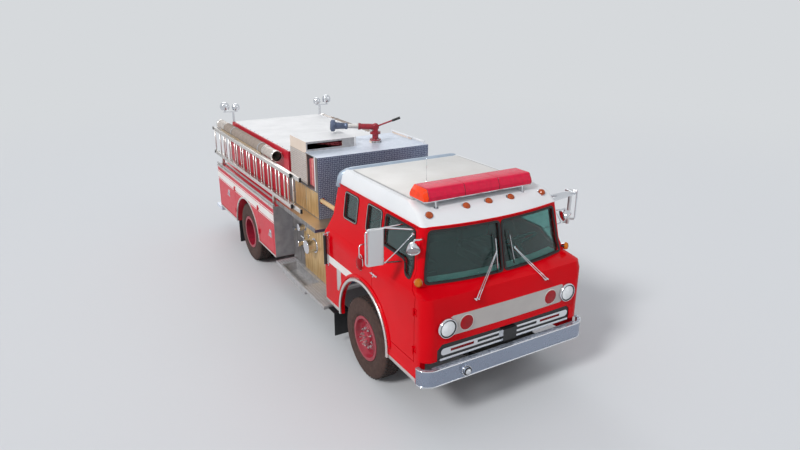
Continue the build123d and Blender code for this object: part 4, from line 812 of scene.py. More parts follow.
def shells():
    """Main panels shown as smooth copies with small rounded edges."""
    dressed("cab_body", CAB_RED, "cab", 0.006)
    dressed("cab_greenhouse", CAB_RED, "cab", 0.004)
    dressed("cab_roof", ROOF_WHITE, "cab", 0.006)
    bumper = dressed("front_bumper", BUMPER_CHROME, "chassis", 0.003, siren_moved)
    face_finish(bumper, PAN_CHROME, lambda c, n: n.z > 0.9 and 0.78 < c.z and abs(c.x) < 1.05)
    grille = dressed("grille", CHROME, "cab", 0.003)
    # Faces set back behind the bars are black: partly the backing's own black, partly painted shade in
    # the recess; a narrow strip at the middle of the front is black too
    face_finish(grille, PLASTIC, lambda c, n: c.y > FRONT_AXLE - 1.3045
                or (abs(c.x) < 0.1 and c.y < FRONT_AXLE - 1.327))
    # A row low on the grille is red towards its ends and dark between
    for mat, inner, outer in ((RED_LENS, 0.46, CAB_HALF), (PLASTIC, 0.11, 0.46)):
        face_finish(grille, mat, lambda c, n: 0.936 < c.z < 0.964 and inner < abs(c.x) < outer
                    and FRONT_AXLE - 1.3065 < c.y < FRONT_AXLE - 1.3045 and n.y < -0.5)
    dressed("arch_trims", ALUMINIUM, "cab", 0.008)
    dressed("running_boards", DULL_ALUMINIUM, "chassis", 0.003)
    dressed("tailboard", DECK_PLATE, "chassis", 0.003)
    handles = dressed("cab_handles", CHROME, "cab")
    face_finish(handles, GRIP, lambda c, n: 1.152 < c.z < 1.558 and abs(c.x) > CAB_HALF + 0.017)
    dressed("pike_poles", DULL_ALUMINIUM, "chassis")
    dressed("grab_rails", CHROME, "chassis")
    dressed("hosebed", BODY_RED, "chassis", 0.004)
    house = dressed("pump_house", GREY_PANEL, "chassis", 0.003, left_cheek_low)
    house_finishes(house)
    dressed("pump_fittings", CHROME, "chassis", 0.003)
    lamps = dressed("rear_lamps", CHROME, "chassis")
    for mat, low, high in ((RED_LENS, 0.0, 1.05), (AMBER, 1.05, 1.2), (CLEAR, 0.0, 0.86)):
        face_finish(lamps, mat, lambda c, n: c.y > BODY_REAR + 0.016 and low < c.z < high)
    dressed("monitor_base", GUN_RED, "monitor_base", 0.003)
    for name, side in SIDES:
        dressed("door_" + name, CAB_RED, "door_" + name, 0.005)
        mirror = dressed("mirror_" + name, CHROME, "door_" + name, 0.002,
                         head_turned if side > 0 else None)
        centre = Vector((side * MIRROR_X, MIRROR_Y))
        face_finish(mirror, MIRROR_BACK, lambda c, n: (c.xy - centre).length < MIRROR_REACH
                    and 1.84 < c.z < 2.25)
        face_finish(mirror, MIRROR, lambda c, n: (c.xy - centre).length < 0.06
                    and 1.86 < c.z < 2.24 and n.y > 0.5)
        body = dressed("body_side_" + name, BODY_RED, "chassis", 0.004)
        face_finish(body, SHEET_GREY, lambda c, n: n.y < -0.9 and c.y < BODY_FRONT + 0.002)
        for place in ("front", "rear"):
            node = "locker_door_" + place + "_" + name
            dressed(node, BODY_RED, node, 0.005)


def house_finishes(house):
    """Treadplate on the pump house's front, darkened there as painted shade, and pale on its decks;
    cream cheeks, a white top, grey sheet.
    """
    deck = FRONT_AXLE + 2.215
    box = FRONT_AXLE + 1.781
    # The front's treadplate is darker than the decks' as painted shade
    face_finish(house, SHADED_TREADPLATE, lambda c, n: n.y < -0.9 and c.y < box + 0.01)
    face_finish(house, DECK_PLATE, lambda c, n: n.z > 0.9 and c.z > 2.3)
    face_finish(house, CHEEK, lambda c, n: abs(n.x) > 0.9 and c.z > 1.91 and c.y > deck)
    face_finish(house, COVER, lambda c, n: n.z > 0.9 and c.z > 2.535 and c.x < 0.1)
    face_finish(house, DULL_ALUMINIUM, lambda c, n: n.y < -0.9 and c.z > 2.40 and c.y > deck - 0.03)
    face_finish(house, SHEET_GREY, lambda c, n: n.y > 0.9 and c.z > 2.2 and c.y > deck + 0.5)
    face_finish(house, WARM_ALUMINIUM, lambda c, n: n.z > 0.9 and 1.44 < c.z < 1.53)


def pane_outline(outline):
    """A side window's outline of (y, z) with soft corners."""
    return soft_corner([at(0, y, z) for y, z in outline], 0.045)


def on_side(side, points):
    """Points laid on the cab's side."""
    return [Vector((side * (side_x(p.z) + 0.002), p.y, p.z)) for p in points]


def window_seals():
    """Rubber round each pane, with a thin bright strip in the side windows' rubber."""
    seal = [(0.013, -0.006), (0.013, 0.006), (-0.013, 0.006), (-0.013, -0.006)]
    strip = [(0.004, 0.0), (0.004, 0.009), (-0.002, 0.009), (-0.002, 0.0)]
    screens, sides, strips = new_meshes(3)
    for name, side in SIDES:
        flat = [(side * 0.018, 1.652), (side * 0.962, 1.652), (side * 0.866, 2.196),
                (side * 0.018, 2.196)]
        corners = soft_corner([(x, 0, z) for x, z in flat], 0.04)
        route = [front_point(p.x, p.z, 0.003) for p in fine(corners, 0.06)]
        add_ring(screens, route, seal)
        for outline in (((-0.137, 1.870), (-0.137, 2.190), (0.205, 2.190), (0.205, 1.862)),
                        ((0.455, 1.857), (0.455, 2.183), (0.805, 2.183), (0.805, 1.848))):
            route = on_side(side, pane_outline(outline))
            add_ring(sides, route, seal)
            add_ring(strips, route, strip)
    half = 0.52
    back = [(-half, 1.870), (half, 1.870), (half, 2.170), (-half, 2.170)]
    route = [at(p.x, level_at(BACK_LEVELS, p.z)[1] + 0.002, p.z) for p in
             soft_corner([(x, 0, z) for x, z in back], 0.045)]
    add_ring(sides, route, seal)
    add_block(screens, (-0.02, front_y(0, 1.93) - 0.012, 1.655), (0.02, front_y(0, 1.93) + 0.02, 1.66))
    close_all("cab", (screens, "windscreen_seals", RUBBER, "cab_floor_paint"),
              (sides, "side_window_seals", RUBBER, "cab_floor_paint"),
              (strips, "side_window_strips", ALUMINIUM, "bright_aluminium"))
    for name, side in SIDES:
        outline = ((-0.225, 1.830), (-0.225, 2.190), (-0.842, 2.190), (-0.912, 1.672),
                   (-0.800, 1.690), (-0.700, 1.822))
        route = on_side(side, fine(pane_outline(outline)))
        for label, shape, mat, place in (("seal", seal, RUBBER, "cab_floor_paint"),
                                         ("strip", strip, ALUMINIUM, "bright_aluminium")):
            bm = bmesh.new()
            add_ring(bm, route, shape)
            close_piece(bm, "door_window_" + label + "_" + name, mat, "door_" + name)


def roof_details():
    """Raised roof panel, rolled rear edge, drip rails, marker lamps and antenna."""
    bm = bmesh.new()
    front, rear, half = FRONT_AXLE - 0.560, FRONT_AXLE + 0.885, 0.80
    add_block(bm, (-half, front + 0.02, ROOF_Z - 0.002), (half, rear, ROOF_Z + 0.012), 0.006)
    close_piece(bm, "roof_panel", ROOF_PANEL, "cab")
    bm = bmesh.new()
    edge = [(0.006, -0.004), (0.006, 0.006), (-0.006, 0.006), (-0.006, -0.004)]
    outline = [(-half - 0.012, front, 0), (half + 0.012, front, 0), (half + 0.012, rear, 0),
               (-half - 0.012, rear, 0)]
    add_ring(bm, [p + Vector((0, 0, ROOF_Z + 0.003)) for p in soft_corner(outline, 0.03)], edge)
    close_piece(bm, "roof_panel_edge", DULL_ALUMINIUM, "cab")
    # Rolled edge over the back of the roof and down both rear corners
    bm = bmesh.new()
    back = FRONT_AXLE + 1.030
    route = bent([(-0.930, back + 0.01, 2.19), (-0.905, back - 0.005, 2.345),
                  (-0.80, back - 0.055, 2.392), (0.80, back - 0.055, 2.392),
                  (0.905, back - 0.005, 2.345), (0.930, back + 0.01, 2.19)], 0.16, 10)
    add_tube(bm, route, 0.053, 16)
    close_piece(bm, "roof_rear_roll", ROLL_GREY, "cab")
    bm = bmesh.new()
    for side in (-1, 1):
        route = [(side * (side_x(2.232) + 0.006), FRONT_AXLE - 0.875, 2.236),
                 (side * (side_x(2.232) + 0.006), FRONT_AXLE + 1.02, 2.236)]
        add_tube(bm, route, 0.008, 8)
    brow = [front_point(-0.875 + 1.75 * i / 20, 2.236, 0.006) for i in range(21)]
    add_tube(bm, brow, 0.009, 8)
    close_piece(bm, "drip_rails", CAB_RED, "cab")
    # Marker lamps lie along the roof's slope above the windscreen
    bm, bases = new_meshes(2)
    for x, z in ((-0.80, 2.332), (-0.317, 2.358), (-0.004, 2.362), (0.312, 2.360), (0.79, 2.345)):
        spot = front_point(x, z)
        slope = Vector((0, 0.81, 0.58))
        out = Vector((x * 0.10, -0.62, 0.78)).normalized()
        for piece, profile in ((bases, ((-0.004, 0.0), (-0.004, 0.036), (0.008, 0.033), (0.008, 0.0))),
                               (bm, ((0.006, 0.0), (0.006, 0.030), (0.018, 0.028), (0.032, 0.017),
                                     (0.037, 0.0)))):
            for vert in add_turned(piece, profile, spot, out, 20):
                off = vert.co - spot
                vert.co += slope * off.dot(slope) * 0.45 + Vector((off.x * 0.5, 0, 0))
    close_all("cab", (bm, "roof_marker_lenses", ORANGE, "lamp_lens"),
              (bases, "roof_marker_bases", CHROME, "chrome"))
    bm = bmesh.new()
    add_turned(bm, ((0, 0), (0, 0.022), (0.012, 0.018), (0.026, 0.008), (0.05, 0.0)),
               at(-0.34, -0.10, ROOF_Z + 0.011), (0, 0, 1), 20)
    add_tube(bm, [at(-0.34, -0.10, ROOF_Z + 0.03), at(-0.338, -0.095, 2.80)], 0.0022, 6,
             [0.003, 0.0014])
    close_piece(bm, "antenna", CHROME, "cab")


# The light bar: its section (y, z), the x where its lengths meet, the middle and foot of its lens
BAR_SECTION = ((-0.800, 2.455), (-0.806, 2.500), (-0.768, 2.578), (-0.750, 2.588), (-0.520, 2.588),
               (-0.502, 2.578), (-0.464, 2.500), (-0.470, 2.455))
BAR_CUTS = (-0.765, -0.285, 0.190, 0.660)
BAR_Y = -0.635
BAR_Z = 2.455


def bar_length(bm, x0, x1, shrink0=0.0, shrink1=0.0):
    """A length of the bar's lens; its section may shrink towards its base at either end."""
    rings = []
    for x, shrink in ((x0, shrink0), (x1, shrink1)):
        rings.append([bm.verts.new(at(x, BAR_Y + (y - BAR_Y) * (1 - shrink * 0.45),
                                      BAR_Z + (z - BAR_Z) * (1 - shrink)))
                      for y, z in BAR_SECTION])
    faces = [bm.faces.new(rings[0][::-1]), bm.faces.new(rings[1])] + join_rings(bm, rings)
    bmesh.ops.recalc_face_normals(bm, faces=faces)
    round_edges(bm, {e for f in faces for e in f.edges}, 0.003, 1)


def light_bar():
    """Magenta lens in three lengths with orange slanted ends, on a chrome base with four feet."""
    bm, ends, dividers, base, bowls = new_meshes(5)
    for start, end in zip(BAR_CUTS, BAR_CUTS[1:]):
        bar_length(bm, start + 0.003, end - 0.003)
    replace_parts(close_piece(bm, "light_bar_lens", MAGENTA, "cab"), "light_bar")
    bar_length(ends, BAR_CUTS[0] - 0.002, BAR_CUTS[0] - 0.052, 0.0, 0.34)
    bar_length(ends, BAR_CUTS[-1] + 0.002, BAR_CUTS[-1] + 0.034, 0.0, 0.34)
    close_piece(ends, "light_bar_ends", BAR_ORANGE, "cab", 20)
    for x in BAR_CUTS:
        bar_length(dividers, x - 0.0035, x + 0.0035, 0.012, 0.012)
    close_piece(dividers, "light_bar_dividers", PLASTIC, "cab")
    add_block(base, at(-0.805, -0.785, 2.438), at(0.685, -0.485, 2.456), 0.004)
    for x in (-0.66, 0.55):
        for y, foot, splay in ((-0.77, 2.375, -0.012), (-0.50, 2.425, 0.012)):
            add_tube(base, bent([at(x, y * 0.5 - 0.3175, 2.446), at(x, y, 2.446),
                                 at(x, y + splay, foot)], 0.02), 0.010, 10)
            add_turned(base, ((0, 0), (0, 0.030), (0.008, 0.028), (0.012, 0)),
                       at(x, y + splay, foot - 0.010), (0, -0.25, 1), 16)
    close_piece(base, "light_bar_base", CHROME, "cab")
    # Rotating reflectors show dimly through the lens
    for x in (-0.60, -0.42, -0.05, 0.34, 0.53):
        add_turned(bowls, ((0, 0), (0.005, 0.05), (0.03, 0.062), (0.07, 0.062), (0.075, 0.0)),
                   at(x, BAR_Y, 2.47), (0, 0, 1), 20)
    close_piece(bowls, "light_bar_reflectors", CHROME, "cab")


# Middles of the headlamps and the red lamps on the cab's front
HEADLAMP_X = 0.857
RED_LAMP_X = 0.602
LAMP_Z = 1.236


def front_face():
    """Cream panel between the lamps, headlamps and red lamps."""
    bm = bmesh.new()
    rows = []
    for z, turn in ((1.122, 1), (1.352, -1)):
        row = []
        for i in range(25):
            x = -0.84 + 1.68 * i / 24
            inset = 0.030 * max(0.0, (abs(x) - 0.79) / 0.05) ** 2
            row.append(bm.verts.new((x, front_y(x, 1.2) - 0.003, z + inset * turn)))
        rows.append(row)
    join_rings(bm, rows, closed=False)
    extruded = bmesh.ops.extrude_face_region(bm, geom=list(bm.faces))["geom"]
    bmesh.ops.translate(bm, vec=(0, 0.0026, 0),
                        verts=[v for v in extruded if isinstance(v, bmesh.types.BMVert)])
    bmesh.ops.recalc_face_normals(bm, faces=bm.faces)
    close_piece(bm, "front_cream_panel", CREAM, "cab")
    # A black ring fills the gap between each headlamp's rim and lens: painted shade
    rims, glasses, bowls, reds, red_rims, bulbs, gaps = new_meshes(7)
    for side in (-1, 1):
        add_turned_set(
            ((rims, 48, ((0.0, 0.117), (0.018, 0.118), (0.034, 0.114), (0.042, 0.108),
                         (0.042, 0.102), (0.020, 0.099), (0.0, 0.099))),
             (gaps, 40, ((0.0, 0.100), (0.036, 0.100), (0.036, 0.087), (0.0, 0.087))),
             (glasses, 40, ((0.030, 0.0), (0.030, 0.086), (0.038, 0.086), (0.049, 0.060),
                            (0.054, 0.030), (0.055, 0.0))),
             (bowls, 40, ((0.028, 0.085), (0.016, 0.070), (0.004, 0.035), (0.002, 0.0),
                          (-0.030, 0.0), (-0.030, 0.087), (0.028, 0.087))),
             (bulbs, 16, ((0.0, 0.0), (0.002, 0.011), (0.018, 0.012), (0.024, 0.0)))),
            front_point(side * HEADLAMP_X, LAMP_Z, 0.001), (0, -1, 0))
        add_turned_set(
            ((reds, 40, ((0.003, 0.0), (0.003, 0.086), (0.012, 0.085), (0.019, 0.068),
                         (0.022, 0.040), (0.023, 0.0))),
             (red_rims, 40, ((0.0, 0.085), (0.0, 0.095), (0.009, 0.095), (0.012, 0.089),
                             (0.009, 0.085)))),
            front_point(side * RED_LAMP_X, LAMP_Z, 0.001), (0, -1, 0))
    lamps = close_piece(rims, "headlamp_rims", CHROME, "cab")
    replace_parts(lamps, "cab_lamps")
    close_all("cab", (gaps, "headlamp_gaps_painted_shade", PLASTIC, "cast_black"),
              (glasses, "headlamp_lenses", HEADLAMP_LENS, "window_glass"),
              (bowls, "headlamp_bowls", BOWL, "chrome"),
              (bulbs, "headlamp_bulbs", CLEAR, "window_glass"),
              (reds, "red_lamp_lenses", RED_LENS, "lamp_lens"),
              (red_rims, "red_lamp_rims", ALUMINIUM, "bright_aluminium"))


def wipers():
    """Two wipers, each a pair of thin arms from a pivot over the cowl to a bowed blade."""
    metal, blades = new_meshes(2)
    for pivot, over, joint, top, foot in (
            ((-0.507, 1.485), ((-0.446, 1.575, 0.032), (-0.313, 1.640, 0.070), (-0.260, 1.700, 0.055)),
             (-0.108, 1.893), (-0.096, 2.081), (-0.100, 1.647)),
            ((0.510, 1.490), ((0.426, 1.575, 0.032), (0.392, 1.640, 0.070), (0.336, 1.700, 0.055)),
             (0.151, 1.892), (0.097, 2.077), (0.146, 1.704))):
        lean = 0.034 if pivot[0] < 0 else -0.034
        for off in (0.0, lean):
            route = [Vector((pivot[0] + off, front_y(*pivot) - 0.030, pivot[1]))]
            for x, z, lift in over:
                route.append(Vector((x + off * 0.85, front_y(x, z) - lift, z)))
            route.append(Vector((joint[0] + off * 0.25, front_y(*joint) - 0.034, joint[1])))
            add_tube(metal, bent(route, 0.05), 0.0052, 8)
            add_turned(metal, ((0.0, 0.0), (0.0, 0.018), (0.018, 0.016), (0.036, 0.008),
                               (0.038, 0.0)),
                       (pivot[0] + off, front_y(*pivot) - 0.002, pivot[1]), (0, -1, 0.1), 16)
        bar = []
        for i in range(9):
            t = i / 8
            bar.append(front_point(foot[0] + (top[0] - foot[0]) * t, foot[1] + (top[1] - foot[1]) * t,
                                   0.012))
        add_tube(blades, bar, 0.0065, 8)
        add_tube(metal, [p + Vector((0, -0.014, 0.0)) for p in bar[1:8]], 0.0045, 8)
        add_turned(metal, ((-0.006, 0.0), (-0.006, 0.010), (0.022, 0.010), (0.022, 0.0)),
                   front_point(*joint, 0.034), (0, 1, 0), 12)
    close_all("cab", (metal, "wiper_arms", CHROME, "chrome"),
              (blades, "wiper_blades", RUBBER, "cab_floor_paint"))


def side_lamps():
    """Teardrop spotlights on the pillars, amber signals on the belt corners, red side markers."""
    chrome, clear, amber, red = new_meshes(4)
    for side in (-1, 1):
        spot = at(side * 1.070, -0.985, 2.060)
        ahead = Vector((side * 0.35, -0.75, -0.55)).normalized()
        add_turned_set(
            ((chrome, 36, ((-0.085, 0.0), (-0.080, 0.014), (-0.055, 0.040), (-0.020, 0.060),
                           (0.015, 0.070), (0.040, 0.073), (0.047, 0.070), (0.038, 0.064),
                           (-0.02, 0.045), (-0.035, 0.0))),
             (clear, 32, ((0.028, 0.0), (0.028, 0.064), (0.038, 0.063), (0.046, 0.040),
                          (0.049, 0.0)))), spot, ahead)
        pillar = at(side * 0.940, -0.962, 2.135)
        add_tube(chrome, bent([pillar, at(side * 0.99, -1.005, 2.140),
                               spot + Vector((-side * 0.012, 0.0, 0.085)),
                               spot + Vector((0, 0.0, 0.045))], 0.03), 0.010, 10)
        base = at(side * 1.043, -1.055, 1.690)
        out = Vector((side * 0.55, -0.70, 0.10)).normalized()
        add_turned_set(
            ((chrome, 28, ((-0.040, 0.0), (-0.040, 0.030), (0.0, 0.040), (0.008, 0.046),
                           (0.008, 0.0))),
             (amber, 28, ((0.008, 0.0), (0.008, 0.045), (0.026, 0.044), (0.044, 0.032),
                          (0.052, 0.0)))), base, out)
        marker = Vector((side * (side_x(1.50) + 0.001), FRONT_AXLE + 0.092, 1.510))
        for bm, profile, tall in (
                (red, ((0.0, 0.0), (0.0, 0.058), (0.024, 0.055), (0.044, 0.038), (0.054, 0.0)), 1.75),
                (chrome, ((0.0, 0.0), (0.0, 0.063), (0.007, 0.061), (0.007, 0.0)), 1.65)):
            for vert in add_turned(bm, profile, marker, (side, 0, 0), 28):
                vert.co.z = marker.z + (vert.co.z - marker.z) * tall
    close_all("cab", (chrome, "side_lamp_housings", CHROME, "chrome"),
              (clear, "spotlight_lenses", CLEAR, "window_glass"),
              (amber, "signal_lenses", AMBER, "lamp_lens"),
              (red, "side_marker_lenses", RED_LENS, "lamp_lens"))


# Radii round the wheel arch: where the stripe ends, and the middle of the flare
STRIPE_CLEAR = 0.646
FLARE = 0.672


def side_plate(bm, side, half, under, over, low, high, rounding, steps=2):
    """A block on a side's skin, from under it to over it, between two corners (y, z)."""
    add_block(bm, (side * (half - under),) + low, (side * (half + over),) + high, rounding, steps)


def cab_trim():
    """Stripes, arch flares, sill strips, grab loops, door handles and mirror stays."""
    white, flare, bright, grab = new_meshes(4)
    top, low = 1.271, 1.165
    for side in (-1, 1):
        skin = side * CAB_HALF
        outline = [(CAB_REAR - 0.028, low), (CAB_REAR - 0.028, top)]
        for i in range(9):
            z = top + (low - top) * i / 8
            reach = sqrt(max(STRIPE_CLEAR ** 2 - (z - ARCH_Z) ** 2, 0.0))
            outline.append((ARCH_Y + reach, z))
        add_prism(white, outline, skin - side * 0.002, skin + side * 0.0018)
        angles = [radians(6 + 168 * i / 48) for i in range(49)]
        add_tube(flare, [(skin - side * 0.004, ARCH_Y + cos(a) * FLARE, ARCH_Z + sin(a) * FLARE)
                         for a in angles], 0.024, 12)
        side_plate(bright, side, CAB_HALF, 0.004, 0.004, (FRONT_AXLE + 0.655, 0.866),
                   (FRONT_AXLE + 0.775, 1.163), 0.0015)
        for y0, y1 in ((FRONT_AXLE + 0.665, CAB_REAR - 0.03), (FRONT_AXLE - 1.165, FRONT_AXLE - 0.585)):
            side_plate(bright, side, CAB_HALF, 0.004, 0.005, (y0, 0.562), (y1, 0.606), 0.002)
        handle = side * (CAB_HALF + 0.045)
        add_tube(grab, bent([at(side * 1.055, 0.033, 1.760), at(handle, 0.033, 1.756),
                             at(handle, 0.033, 1.590), at(side * 1.080, 0.033, 1.584)], 0.03),
                 0.009, 10)
    close_all("cab", (white, "cab_side_stripes", STRIPE_WHITE, "roof_white"),
              (flare, "cab_arch_flares", CAB_RED, "cab_red"),
              (bright, "cab_sill_strips", ALUMINIUM, "bright_aluminium"),
              (grab, "cab_grab_loops", CHROME, "chrome"))
    for name, side in SIDES:
        handle, stay = new_meshes(2)
        y = FRONT_AXLE - 0.270
        for off in (-0.055, 0.055):
            side_plate(handle, side, CAB_HALF, 0.004, 0.022, (y + off - 0.010, 1.484),
                       (y + off + 0.010, 1.502), 0.005)
        side_plate(handle, side, CAB_HALF, -0.018, 0.030, (y - 0.078, 1.484), (y + 0.078, 1.502),
                   0.005)
        add_turned(handle, ((-0.002, 0.0), (-0.002, 0.013), (0.005, 0.011), (0.007, 0.0)),
                   (side * CAB_HALF, y + 0.055, 1.445), (side, 0, 0), 20)
        close_piece(handle, "door_handle_" + name, CHROME, "door_" + name)
        # Arm that steadies the mirror from the door's upper edge
        top = at(side * 0.985, -0.842, 2.150)
        add_tube(stay, bent([top, at(side * 1.16, -0.80, 1.97), at(side * 1.262, -0.752, 1.858)],
                            0.1), 0.007, 8)
        add_turned(stay, ((-0.008, 0.0), (-0.008, 0.018), (0.006, 0.016), (0.010, 0.0)), top,
                   (side, 0, 0.2), 16)
        close_piece(stay, "mirror_stay_" + name, CHROME, "door_" + name)


# The body's stripe, and the gap that its ends keep from a door's edge
STRIPE_LOW = 1.128
STRIPE_TOP = 1.301
STRIPE_GAP = 0.0008


def body_trim():
    """Stripe with pinstripes, bright strips, arch bands and the lockers' handles."""
    # Where the locker doors start and end, and the body's own stretches between them
    lockers = {"front": (FRONT_AXLE + 2.9875, FRONT_AXLE + 3.6875),
               "rear": (FRONT_AXLE + 4.9975, FRONT_AXLE + 6.0425)}
    spans = {"chassis": ((BODY_FRONT, lockers["front"][0] - 0.0025),
                         (lockers["front"][1] + 0.0025, lockers["rear"][0] - 0.0025),
                         (lockers["rear"][1] + 0.0025, BODY_REAR)),
             "front": (lockers["front"],), "rear": (lockers["rear"],)}
    for name, side in SIDES:
        for place, ranges in spans.items():
            white, pins = new_meshes(2)
            for y0, y1 in ranges:
                y0, y1 = y0 + STRIPE_GAP, y1 - STRIPE_GAP
                side_plate(white, side, BODY_HALF, 0.002, 0.0016, (y0, STRIPE_LOW), (y1, STRIPE_TOP),
                           0.0)
                for z in (STRIPE_LOW + 0.020, STRIPE_TOP - 0.020):
                    side_plate(pins, side, BODY_HALF, 0.0, 0.0024, (y0, z - 0.005), (y1, z + 0.005),
                               0.0)
            label = place + "_" + name
            body = "chassis" if place == "chassis" else "locker_door_" + label
            close_piece(white, "body_stripe_" + label, STRIPE_WHITE, body)
            close_piece(pins, "body_pinstripes_" + label, CAB_RED, body)
        bright = bmesh.new()
        add_band(bright, (REAR_AXLE, AXLE_Z), (0.615, 0.646), (3.2, 176.8),
                 (side * (BODY_HALF - 0.006), side * (BODY_HALF + 0.010)), 56)
        for y0, y1 in ((BODY_FRONT, REAR_AXLE - 0.640), (REAR_AXLE + 0.640, BODY_REAR)):
            side_plate(bright, side, BODY_HALF, 0.004, 0.006, (y0 + 0.002, BODY_LOW + 0.001),
                       (y1, 0.584), 0.002)
        for under, over, low, high in ((0.030, 0.006, -0.004, 0.003), (0.004, 0.005, -0.036, -0.006)):
            side_plate(bright, side, BODY_HALF, under, over, (BODY_FRONT + 0.002, BODY_TOP + low),
                       (BODY_REAR - 0.002, BODY_TOP + high), 0.002)
        close_piece(bright, "body_bright_trim_" + name, ALUMINIUM, "chassis")
        for place, y, z in (("front", 3.125, 0.903), ("rear", 5.410, 0.984)):
            bm = bmesh.new()
            y += FRONT_AXLE
            side_plate(bm, side, BODY_HALF, 0.003, 0.005, (y - 0.042, z - 0.066),
                       (y + 0.042, z + 0.066), 0.004, 3)
            side_plate(bm, side, BODY_HALF, -0.003, 0.009, (y - 0.030, z - 0.048),
                       (y + 0.030, z + 0.048), 0.003)
            grip = ((0.008, -0.030, 0.012), (0.026, -0.030, -0.030), (0.026, 0.030, -0.030),
                    (0.008, 0.030, 0.012))
            add_tube(bm, bent([(side * (BODY_HALF + out), y + along, z + up)
                               for out, along, up in grip], 0.014), 0.006, 8)
            add_turned(bm, ((0.0, 0.0), (0.008, 0.011), (0.014, 0.009), (0.014, 0.0)),
                       (side * (BODY_HALF + 0.004), y, z + 0.040), (side, 0, 0), 16)
            label = place + "_" + name
            close_piece(bm, "locker_handle_" + label, CHROME, "locker_door_" + label)


def tread_spots(origin, across, along, out, size, pitch=0.034):
    """Places of a treadplate's lugs, which lie crosswise in turn."""
    origin, across, along = Vector(origin), Vector(across), Vector(along)
    spots = []
    columns, rows = int(size[0] / pitch), int(size[1] / pitch)
    for i in range(columns):
        for k in range(rows):
            spot = (origin + across * ((i + 0.5) * size[0] / columns)
                    + along * ((k + 0.5) * size[1] / rows))
            spots.append((spot, out, 45 if (i + k) % 2 else -45, (1.0, 0.40)))
    return spots


def lugs(name, spots, mat, radius, height):
    """Low six-sided lugs of treadplate."""
    studs(name, spots, mat, "chassis", radius, height, 6, 0.45)


def rear_panel():
    """Treadplate over the body's back between the lamps, with a hinged door in its middle."""
    plate, door, handle = new_meshes(3)
    add_block(plate, (-0.840, BODY_REAR - 0.001, 0.800), (0.840, BODY_REAR + 0.003, 1.380), 0.001, 1)
    add_block(door, (-0.440, BODY_REAR + 0.002, 0.880), (0.440, BODY_REAR + 0.012, 1.320), 0.004, 3)
    add_tube(handle, bent([(-0.060, BODY_REAR + 0.011, 1.255), (-0.060, BODY_REAR + 0.034, 1.255),
                           (0.060, BODY_REAR + 0.034, 1.255), (0.060, BODY_REAR + 0.011, 1.255)],
                          0.012), 0.007, 10)
    for x in (-0.30, 0.30):
        add_tube(handle, [(x - 0.045, BODY_REAR + 0.010, 0.877), (x + 0.045, BODY_REAR + 0.010, 0.877)],
                 0.009, 10)
    spots = [lug for lug in tread_spots((-0.835, BODY_REAR + 0.0025, 0.805), (1, 0, 0), (0, 0, 1),
                                       (0, 1, 0), (1.670, 0.570), 0.036)
             if abs(lug[0].x) > 0.455 or not 0.862 < lug[0].z < 1.338]
    close_all("chassis", (plate, "rear_treadplate", DECK_PLATE, "treadplate"),
              (door, "rear_door_panel", BODY_RED, "body_red"),
              (handle, "rear_door_handle", CHROME, "chrome"))
    lugs("rear_lugs", spots, PALE_LUG, 0.0150, 0.0025)


# Dials on the left pump panel: distance behind the front axle, height, radius
DIALS = ((1.790, 1.330, 0.062), (1.990, 1.330, 0.062), (1.730, 1.190, 0.036), (1.840, 1.190, 0.036),
         (1.950, 1.190, 0.036), (2.060, 1.190, 0.036), (2.170, 1.190, 0.036))


def dials():
    """Pressure dials on the left pump panel: bezel, white face, scale marks and a needle."""
    bezels, faces, needles = new_meshes(3)
    marks = []
    x = PANEL_FACE + 0.0025
    for number, (y, z, radius) in enumerate(DIALS):
        y += FRONT_AXLE
        add_turned(bezels, ((0.0, radius), (0.008, radius), (0.014, radius * 0.95),
                            (0.014, radius * 0.86), (0.006, radius * 0.84), (0.0, radius * 0.84)),
                   (x, y, z), (1, 0, 0), 36)
        add_turned(faces, ((0.0, 0.0), (0.0, radius * 0.85), (0.005, radius * 0.85), (0.005, 0.0)),
                   (x, y, z), (1, 0, 0), 32)
        turn = radians(210 - 17 * number)
        tip = Vector((0.0, cos(turn), sin(turn))) * radius * 0.66
        add_tube(needles, [Vector((x + 0.0065, y, z)) - tip * 0.25, Vector((x + 0.0065, y, z)) + tip],
                 0.0016, 6)
        add_turned(needles, ((0.005, 0.0), (0.005, 0.005), (0.009, 0.004), (0.010, 0.0)), (x, y, z),
                   (1, 0, 0), 12)
        for k in range(11):
            turn = radians(-45 + 27 * k)
            marks.append(((x + 0.0052, y + cos(turn) * radius * 0.72, z + sin(turn) * radius * 0.72),
                          (1, 0, 0), degrees(turn), (1.0, 0.35)))
    close_all("chassis", (bezels, "dial_bezels", CHROME, "chrome"),
              (faces, "dial_faces", CAP_WHITE, "roof_white"),
              (needles, "dial_needles", PLASTIC, "cast_black"))
    studs("dial_marks", marks, PLASTIC, "chassis", 0.0045, 0.0006, 4, 1.0)


